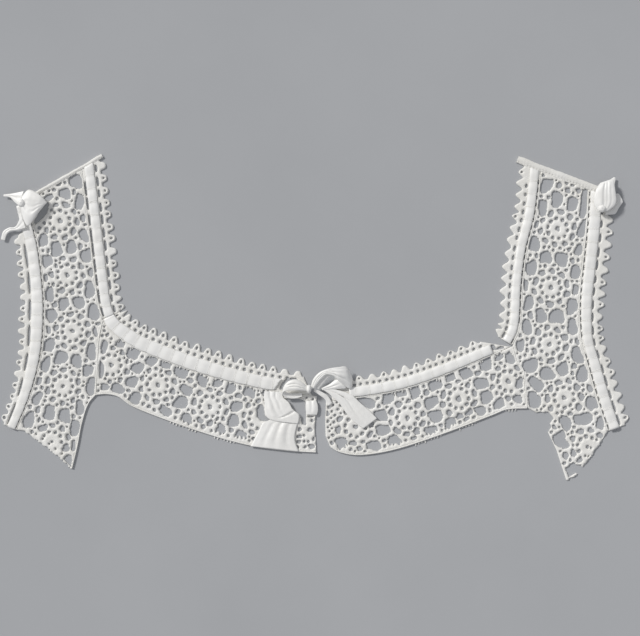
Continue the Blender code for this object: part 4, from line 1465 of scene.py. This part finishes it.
def patch(rows, folds, phase, across=25, steps=9):
    """A ribbon's upper side between two edges, with its creases, as a grid in millimetres."""
    first = smooth([Vector((*place(r.ax, r.ay), r.za)) for r in rows], steps)
    second = smooth([Vector((*place(r.bx, r.by), r.zb)) for r in rows], steps)
    middles = smooth([Vector((r.zm, 0.0, 0.0)) for r in rows], steps)
    count = len(first)
    grid = np.zeros((count, across, 3))
    for i, (a, b, middle) in enumerate(zip(first, second, middles)):
        w = i / (count - 1)
        bulge = middle.x - (a.z + b.z) / 2
        for j in range(across):
            t = j / (across - 1)
            spot = a + (b - a) * t
            z = spot.z + bulge * 4 * t * (1 - t)
            for fold in folds:
                z += fold_depth(fold, w, t)
            z += 0.12 * noise.noise((spot.x * 0.35, spot.y * 0.35, phase)) * min(1.0, 8 * t, 8 * (1 - t))
            grid[i, j] = (spot.x, spot.y, z)
    return grid


BOW_PARTS = {
    "bow_loop_left": [(
        ribs(
            (302.5, 392.6, 302.0, 396.6, 3.6, 3.9, 3.8), (295.0, 393.2, 294.4, 398.4, 3.3, 3.6, 3.4),
            (287.6, 392.4, 286.4, 397.6, 3.8, 4.2, 3.9), (283.8, 389.0, 282.8, 394.4, 5.2, 5.6, 5.2),
            (285.4, 384.4, 284.2, 391.0, 7.0, 7.5, 7.0), (289.4, 380.6, 288.4, 389.8, 8.3, 8.9, 8.2),
            (296.0, 379.2, 295.4, 389.6, 8.2, 9.3, 8.6), (302.0, 382.0, 301.8, 389.8, 7.6, 8.8, 7.8),
            (306.6, 386.2, 306.2, 390.4, 6.4, 7.4, 6.8),
        ),
        creases(
            (0.35, 0.45, 0.09, -0.7, 0.55, 1.0), (0.62, 0.7, 0.07, -0.6, 0.6, 1.0),
            (0.5, 0.5, 0.2, -0.3, 0.0, 0.3),
        ),
    )],
    "bow_loop_right": [(
        ribs(
            (311.2, 386.4, 314.0, 388.0, 5.2, 5.8, 5.4), (312.8, 380.4, 316.6, 383.6, 6.2, 7.0, 6.6),
            (316.2, 375.2, 320.4, 378.8, 7.2, 8.2, 7.6), (321.8, 371.0, 326.0, 374.0, 8.0, 9.1, 8.4),
            (330.0, 368.2, 333.4, 375.4, 8.5, 9.4, 8.0), (338.0, 367.0, 339.6, 381.0, 8.2, 9.2, 6.6),
            (345.6, 366.6, 345.4, 386.0, 6.2, 7.6, 4.2), (349.9, 372.8, 349.4, 388.4, 4.0, 5.4, 3.2),
            (352.2, 378.4, 351.4, 387.6, 2.9, 3.5, 2.9),
        ),
        creases(
            (0.5, 0.3, 0.09, -0.8, 0.0, 0.8), (0.75, 0.62, 0.08, -0.7, 0.1, 0.95),
            (0.2, 0.12, 0.06, -0.4, 0.35, 1.0),
        ),
), (
        ribs(
            (315.8, 387.2, 318.4, 388.8, 4.0, 4.4, 4.0), (320.0, 381.6, 322.8, 383.4, 5.0, 5.5, 5.0),
            (325.0, 376.0, 327.8, 377.6, 6.0, 6.6, 6.0), (329.6, 371.8, 332.6, 374.2, 7.0, 7.4, 7.0),
        ),
        creases((0.5, 0.5, 0.25, -0.2, 0.0, 1.0)),
), (
        ribs(
            (321.4, 388.2, 322.4, 389.8, 3.2, 3.5, 3.2), (329.6, 384.2, 331.4, 388.8, 3.2, 3.8, 3.1),
            (336.0, 379.2, 338.4, 388.6, 3.8, 4.6, 3.2), (342.6, 374.4, 346.0, 388.2, 4.2, 5.0, 3.2),
        ),
        creases((0.6, 0.55, 0.12, -0.5, 0.0, 0.9)),
    )],
    "bow_tail_left": [(
        ribs(
            (276.5, 416.6, 297.0, 416.0, 1.85, 1.9, 1.85), (268.0, 420.6, 298.8, 421.0, 1.85, 1.95, 1.85),
            (262.5, 423.2, 297.2, 425.6, 1.9, 2.3, 1.9), (258.5, 431.0, 295.4, 433.6, 1.9, 2.6, 2.0),
            (254.4, 438.6, 295.4, 442.0, 1.9, 2.5, 2.0), (250.4, 446.2, 299.0, 451.6, 1.9, 2.2, 1.9),
        ),
        creases(
            (0.32, 0.24, 0.05, -0.5, 0.25, 1.0), (0.52, 0.5, 0.045, -0.55, 0.2, 1.0),
            (0.74, 0.8, 0.05, -0.5, 0.2, 1.0), (0.62, 0.66, 0.06, 0.3, 0.3, 1.0),
        ),
), (
        ribs(
            (264.5, 391.2, 282.5, 391.6, 2.0, 2.5, 2.0), (264.0, 397.0, 283.4, 397.2, 2.1, 2.8, 2.2),
            (264.6, 402.8, 289.0, 402.5, 2.3, 3.2, 2.6), (265.0, 409.0, 292.8, 409.2, 2.4, 3.4, 2.8),
            (265.8, 414.6, 298.8, 414.2, 2.5, 3.3, 2.7), (269.0, 418.6, 299.2, 419.4, 2.5, 3.1, 2.6),
            (277.0, 421.2, 298.0, 423.4, 2.5, 2.9, 2.5),
        ),
        creases(
            (0.3, 0.42, 0.06, -0.7, 0.0, 0.9), (0.62, 0.5, 0.05, -0.6, 0.0, 0.7),
            (2.29, -0.1, 0.05, -1.0, 0.52, 0.82), (0.16, 0.24, 0.06, 0.35, 0.2, 0.9),
        ),
), (
        ribs(
            (306.4, 400.4, 316.4, 400.8, 2.0, 2.3, 2.0), (305.6, 405.0, 317.8, 405.4, 2.1, 2.9, 2.1),
            (305.8, 410.0, 318.0, 410.4, 2.1, 2.9, 2.1), (306.6, 414.6, 316.8, 414.8, 2.0, 2.2, 2.0),
        ),
        creases((0.5, 0.45, 0.14, -0.4, 0.0, 0.9)),
    )],
    "bow_tail_right": [(
        ribs(
            (320.6, 386.8, 321.6, 388.6, 3.0, 3.2, 3.0), (330.0, 388.4, 328.6, 393.2, 2.8, 3.2, 2.8),
            (341.0, 391.0, 334.6, 398.6, 2.6, 3.3, 2.6), (352.0, 395.4, 340.6, 404.6, 2.3, 3.1, 2.4),
            (360.0, 402.6, 346.6, 413.4, 2.1, 3.0, 2.2), (369.6, 411.0, 354.0, 421.6, 2.0, 2.7, 2.0),
            (377.0, 418.4, 363.6, 428.4, 1.9, 2.2, 1.9),
        ),
        creases(
            (0.5, 0.35, 0.07, -0.6, 0.0, 0.9), (0.25, 0.7, 0.06, -0.5, 0.1, 0.95),
            (0.75, 0.85, 0.06, 0.3, 0.3, 1.0),
        ),
), (
        ribs(
            (314.4, 388.6, 313.6, 391.0, 3.6, 3.8, 3.6), (323.0, 392.6, 321.6, 396.2, 3.0, 3.4, 3.0),
            (328.6, 397.0, 325.6, 399.8, 2.5, 2.9, 2.5), (332.0, 403.4, 328.4, 405.6, 2.2, 2.5, 2.2),
        ),
        creases((0.5, 0.5, 0.16, -0.35, 0.0, 0.9)),
    )],
    "shoulder_bow_left_loop": [(
        ribs(
            (24.6, 200.6, 25.4, 209.0, 3.4, 3.7, 3.4), (35.0, 198.0, 34.0, 214.0, 3.1, 3.6, 3.1),
            (44.0, 200.0, 41.0, 210.6, 4.0, 4.4, 4.0), (48.2, 203.4, 44.6, 206.6, 5.6, 6.0, 5.6),
            (43.0, 197.0, 38.2, 215.6, 7.2, 8.0, 7.0), (37.0, 192.6, 30.6, 226.0, 7.0, 8.6, 6.6),
            (29.6, 190.4, 26.6, 224.0, 6.6, 8.3, 6.4), (23.0, 197.0, 22.4, 212.0, 6.0, 7.2, 6.0),
        ),
        creases(
            (0.4, 0.46, 0.06, -0.8, 0.5, 1.0), (0.62, 0.56, 0.06, -0.7, 0.5, 1.0),
            (0.24, 0.36, 0.05, -0.4, 0.55, 1.0),
        ),
    )],
    "shoulder_bow_left_upper": [(
        ribs(
            (25.0, 191.4, 20.0, 206.0, 5.0, 5.6, 5.0), (17.0, 193.0, 15.6, 202.6, 4.0, 4.5, 4.0),
            (10.0, 194.0, 10.4, 197.6, 2.9, 3.2, 2.9), (3.8, 194.6, 3.8, 196.4, 2.2, 2.3, 2.2),
        ),
        creases((0.5, 0.5, 0.12, -0.4, 0.0, 0.9)),
    )],
    "shoulder_bow_left_lower": [(
        ribs(
            (22.4, 215.0, 27.0, 228.0, 4.8, 5.2, 4.8), (16.4, 226.4, 18.6, 230.2, 3.6, 3.9, 3.6),
            (9.4, 227.8, 10.6, 231.2, 2.8, 3.1, 2.8), (3.4, 231.6, 6.6, 235.4, 2.3, 2.6, 2.3),
            (1.0, 239.6, 5.0, 240.4, 2.1, 2.3, 2.1),
        ),
        creases((0.5, 0.5, 0.14, -0.35, 0.0, 0.9)),
    )],
    "shoulder_bow_right_loop": [(
        ribs(
            (596.6, 209.6, 604.4, 209.6, 3.6, 4.0, 3.6), (594.4, 200.0, 607.6, 200.0, 3.2, 3.7, 3.2),
            (595.4, 190.0, 609.0, 188.6, 3.6, 4.1, 3.6), (599.0, 183.6, 608.6, 180.6, 5.2, 5.6, 5.2),
            (597.4, 186.0, 611.6, 181.4, 7.0, 7.6, 7.0), (593.6, 193.0, 613.8, 190.4, 7.0, 8.4, 7.0),
            (592.6, 204.0, 614.6, 204.0, 6.6, 8.2, 6.6), (597.0, 212.0, 607.0, 211.6, 6.4, 7.4, 6.4),
        ),
        creases(
            (0.4, 0.46, 0.07, -0.8, 0.5, 1.0), (0.64, 0.58, 0.07, -0.7, 0.5, 1.0),
            (0.85, 0.75, 0.06, -0.4, 0.6, 1.0),
        ),
    )],
    "shoulder_bow_right_upper": [(
        ribs(
            (604.6, 205.4, 609.6, 205.0, 2.4, 2.7, 2.4), (606.4, 193.0, 614.6, 193.6, 2.2, 2.7, 2.2),
            (608.6, 182.0, 614.4, 185.0, 2.1, 2.5, 2.1), (613.6, 177.4, 615.2, 177.8, 1.9, 2.1, 1.9),
        ),
        creases((0.5, 0.5, 0.14, -0.3, 0.0, 0.9)),
    )],
    "shoulder_bow_right_outer": [(
        ribs(
            (604.4, 211.0, 605.0, 214.8, 2.4, 2.7, 2.4), (611.0, 200.6, 614.4, 214.0, 2.2, 2.8, 2.2),
            (617.0, 193.6, 618.0, 208.6, 2.1, 2.7, 2.1), (621.6, 199.2, 622.6, 202.0, 1.9, 2.1, 1.9),
        ),
        creases((0.5, 0.5, 0.1, -0.45, 0.0, 0.9)),
    )],
}
BOW_SHELL = 0.34
Knot = namedtuple("Knot", "x_px y_px half_x half_y low high turn")
KNOTS = {
    "bow_knot": Knot(308.8, 388.6, 2.0, 3.1, 1.7, 8.9, 4.0),
    "shoulder_bow_left_knot": Knot(23.0, 203.5, 2.8, 3.2, 2.9, 8.9, 0.0),
    "shoulder_bow_right_knot": Knot(600.5, 209.0, 3.2, 2.8, 2.9, 8.9, 0.0),
}
# The longest way of each ribbon piece laid flat: twice its reach for a loop
FLAT_RIBBONS = table(
    "name doubled held others",
    ("bow_loop_left", 2.0, "folded", ()),
    ("bow_loop_right", 2.0, "folded", ("bow_knot",)),
    ("bow_tail_left", 1.0, "laid", ()),
    ("bow_tail_right", 1.0, "laid", ()),
    (
        "shoulder_bow_left_loop", 2.0, "folded",
        ("shoulder_bow_left_upper", "shoulder_bow_left_lower", "shoulder_bow_left_knot"),
    ),
    (
        "shoulder_bow_right_loop", 2.0, "folded",
        ("shoulder_bow_right_upper", "shoulder_bow_right_outer", "shoulder_bow_right_knot"),
    ),
)


def knot_grid(knot):
    """A wound knot as a closed lump: rings that pinch at top and bottom, with fine wraps."""
    centre = place(knot.x_px, knot.y_px)
    points = []
    rings = 18
    sides = 32
    for i in range(rings + 1):
        polar = math.pi * i / rings
        for k in range(sides):
            angle = 2 * math.pi * k / sides
            puff = math.sin(polar) ** 0.7
            groove = 1 - 0.07 * abs(math.sin(2.5 * angle + knot.turn + 0.4 * math.cos(polar)))
            x = centre.x + knot.half_x * puff * groove * math.cos(angle)
            y = centre.y + knot.half_y * puff * groove * math.sin(angle)
            sink = (knot.high - knot.low) / 2 * math.cos(polar) * (0.96 + 0.04 * groove)
            z = (knot.low + knot.high) / 2 - sink
            points.append((x, y, z))
    faces = []
    for i in range(rings):
        for k in range(sides):
            n = (k + 1) % sides
            faces.append((i * sides + k, i * sides + n, (i + 1) * sides + n, (i + 1) * sides + k))
    faces.append(tuple(reversed(range(sides))))
    faces.append(tuple(rings * sides + k for k in range(sides)))
    return points, faces


def binding_piece(name, shoulder, material, seed):
    """Folded tape over a cut end: uneven folds, puckered between the stitches that hold it."""
    upper = shoulder_line(shoulder, 0.0)
    lower = shoulder_line(shoulder, shoulder.binding)
    length = (upper[1] - upper[0]).length
    down = (lower[0] - upper[0]).normalized()
    along = round(length / TAPE_STEP)
    grid = np.zeros((along + 1, len(TAPE_SECTION), 3))

    def slip(s, turn):
        return 0.5 * noise.noise((s * 0.13, turn, seed)) + 0.2 * noise.noise((s * 0.7, turn, seed))

    for i in range(along + 1):
        s = length * i / along
        top = upper[0] + (upper[1] - upper[0]) * (s / length) + down * max(0.0, 0.25 + slip(s, 1.5))
        low = lower[0] + (lower[1] - lower[0]) * (s / length) + down * (0.1 + 1.1 * slip(s, 7.5))
        pucker = 0.13 * math.cos(2 * math.pi * s / STITCH_PITCH + 1.4 * noise.noise((s * 0.2, 3.3, seed)))
        swell = 0.34 * noise.noise((s * 0.12, 11.0, seed))
        for j, row in enumerate(TAPE_SECTION):
            spot = top + (low - top) * row.share
            fade = min(1.0, 6 * row.share, 6 * (1 - row.share))
            held = math.exp(-(((row.share - 0.82) / 0.3) ** 2))
            grid[i, j] = (spot.x, spot.y, row.height + (swell - pucker * held) * fade)
    if upper[1].x < upper[0].x:
        grid = grid[::-1]
    shell = Threads()
    shell.shell(grid, None)
    piece = shell.piece(name, material, 60.0)
    stitches = Threads()
    count = round(length / STITCH_PITCH)
    half = (lower[1] - lower[0]).normalized() * STITCH_HALF
    for k in range(count):
        middle = lower[0] + (lower[1] - lower[0]) * ((k + 0.5) / count)
        middle -= down * (STITCH_IN * shoulder.binding)
        rise = ((middle - half, 1.2), (middle, 1.56), (middle + half, 1.2))
        stitches.tube([Vector((p.x, p.y, z)) for p, z in rise], STITCH_RADIUS, 6)
    return piece, stitches.piece(name + "_stitches", material)


def extent(points):
    """The length and width of a piece along and across its longest way, in metres."""
    spots = np.array([(p[0], p[1]) for p in points])
    spots = spots - spots.mean(axis=0)
    _, _, axes = np.linalg.svd(spots, full_matrices=False)
    laid = spots @ axes.T
    size = laid.max(axis=0) - laid.min(axis=0)
    return float(size[0]) * METRE, float(size[1]) * METRE


def flat_size(piece, doubled=1.0):
    """A thin ribbon or tape laid flat: its width and length, and its area, in metres."""
    cloth = sum(p.area for p in piece.data.polygons) / 2
    length = extent([v.co / METRE for v in piece.data.vertices])[0] * doubled
    width = max(LEAST_FLAT_WIDTH, cloth / length)
    return (width, length), min(cloth, width * length)


# Making


COTTON = lace_cotton("lace_cotton", 12.0)
COTTON_EDGE = lace_cotton("edging_cotton", 74.0)
SATIN = {
    "left": satin("ribbon_satin_left", 8.0),
    "right": satin("ribbon_satin_right", -8.0),
    "band": satin("ribbon_satin_band", 90.0),
}
SATIN_BOW = satin("bow_satin", 40.0)
TAPE = tape("binding_tape")

for number, (name, strip, outline, rough) in enumerate(insertions()):
    rng = random.Random(101 + number)
    band = "band" in name
    between = BETWEEN_BAND if band else BETWEEN_STRAP
    border = Border(outline)
    hand = -1 if name == "band_right" else 1
    turn = WHEEL_TURN_DEG.get(name, 0.0)
    holes = repeat_holes(strip, between, turn, not band, hand, HOLE_SIZE[name], rng)
    holes.sort(key=lambda pair: -abs(area(pair[0])))
    odd = drawn_gaps(BENT_GAPS.get(name, ()), rng)
    odd += odd_holes(name, rng)
    holes = sorted_holes([(ring, EDGE_BAR) for ring in odd] + holes, border)
    holes += tiny_dots(holes, border, strip.centres, rng)
    holes += drawn_gaps(OPEN_GAPS.get(name, ()), rng)
    piece, net = lace_mesh(name + "_lace", Border(rough), holes, strip.centres, COTTON)
    declare(piece, "lace", name)
    cord = Threads()
    for rows, radius in CORDS[name]:
        whipped_seam(cord, Guide(rows).points, radius)
    cord = declare(cord.piece(name + "_cord", COTTON), "lace")
    length, width = extent(border.points)
    max(LEAST_FILL * width * length, net)

for number, edging in enumerate(edgings()):
    rng = random.Random(301 + number)
    name = edging.name
    edge, eyelets = edging.picots(rng)
    border = Border(keep_left(edging.seam(HAIR) + edge[::-1], *edging.cut))
    holes = edging.slots(rng)
    holes += edging.eyelet_holes(eyelets, rng)
    holes.sort(key=lambda ring: -abs(area(ring)))
    holes = [ring for ring in holes if min(border.depth(p)[0] for p in ring) > EDGING_BAR]
    piece, net = lace_mesh(name + "_lace", border, holes, [], COTTON_EDGE)
    declare(piece, "lace", name + "_beading")
    phase = 1.7 * number
    shell = Threads()
    shell.shell(edging.ribbon(phase), RIBBON_SHELL)
    where = "band" if "band" in name else ("left" if "left" in name else "right")
    ribbon = declare(shell.piece(name + "_satin", SATIN[where]), "ribbon", name + "_ribbon")
    bars = Threads()
    edging.thread_bars(bars, phase, rng)
    held = declare(bars.piece(name + "_bars", COTTON_EDGE), "lace")
    seam = Threads()
    whipped_seam(seam, [p for p in edging.seam(0.0) if side_of(p, *edging.cut) > 0], SEAM_RADIUS)
    cord = declare(seam.piece(name + "_seam", COTTON_EDGE), "lace")
    flat_width = max(BEADING_WIDTH, net / (edging.guide.length * METRE))
    flat_length = (edging.stop - edging.start) * METRE
    min(net, flat_width * flat_length)

for side in SIDES:
    name = "shoulder_binding_" + side.name
    piece, stitched = binding_piece(name + "_tape", side.shoulder, TAPE, TAPE_SEED)
    declare(piece, "binding", name)
    declare(stitched, "binding")
    flat, cloth = flat_size(piece)

bow_pieces = {}
for number, (name, parts) in enumerate(BOW_PARTS.items()):
    made = Threads()
    for rows, folds in parts:
        made.shell(patch(rows, folds, number * 2.3), BOW_SHELL)
    bow_pieces[name] = declare(made.piece(name + "_satin", SATIN_BOW), "ribbon", name)

for name, knot in KNOTS.items():
    points, faces = knot_grid(knot)
    bow_pieces[name] = declare(new_piece(name + "_satin", points, faces, SATIN_BOW), "ribbon", name)

for row in FLAT_RIBBONS:
    piece = bow_pieces[row.name]
    flat, cloth = flat_size(piece, row.doubled)
    others = [bow_pieces[other] for other in row.others]


# Table, light and camera

FLOOR_SIZE = 6.0
FLOOR_DROP = 0.0002
KEY_FROM = (-0.62, 0.5, 0.62)
KEY_ENERGY = 2.3
KEY_ANGLE_DEG = 9.0
KEY_COLOUR = (1.0, 0.985, 0.96)
SKY_COLOUR = (0.93, 0.95, 1.0, 1.0)
SKY_STRENGTH = 0.4
FRAME_PX = (320.0, 318.0)
FRAME_WIDTH_PX = 640.0
LENS = 85.0
SENSOR = 36.0

bpy.ops.mesh.primitive_plane_add(size=FLOOR_SIZE, location=(0.0, 0.0, -FLOOR_DROP))
floor = bpy.context.object
floor.name = "floor"
floor.data.materials.append(table_top("table_top"))
floor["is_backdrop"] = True

sun = bpy.data.lights.new("key", "SUN")
sun.energy = KEY_ENERGY
sun.color = KEY_COLOUR
sun.angle = math.radians(KEY_ANGLE_DEG)
key = bpy.data.objects.new("key", sun)
key.location = KEY_FROM
key.rotation_euler = (-Vector(KEY_FROM)).to_track_quat("-Z", "Y").to_euler()
bpy.context.scene.collection.objects.link(key)

world = bpy.data.worlds.new("studio")
world.use_nodes = True
set_inputs(world.node_tree.nodes["Background"], {"Color": SKY_COLOUR, "Strength": SKY_STRENGTH})
bpy.context.scene.world = world

centre = place(*FRAME_PX)
distance = FRAME_WIDTH_PX * MM_PER_PX * LENS / SENSOR
lens = bpy.data.cameras.new("camera")
lens.lens = LENS
lens.sensor_width = SENSOR
lens.clip_end = 20.0
camera = bpy.data.objects.new("camera", lens)
camera.location = (centre.x * METRE, centre.y * METRE, (distance + LACE_WALL) * METRE)
bpy.context.scene.collection.objects.link(camera)
bpy.context.scene.camera = camera
bpy.context.scene.view_settings.view_transform = "Standard"

boxes = {"cad": cad_bounds, "visual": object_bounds()}
{key: [[float(v) for v in corner] for corner in box] for key, box in boxes.items()}
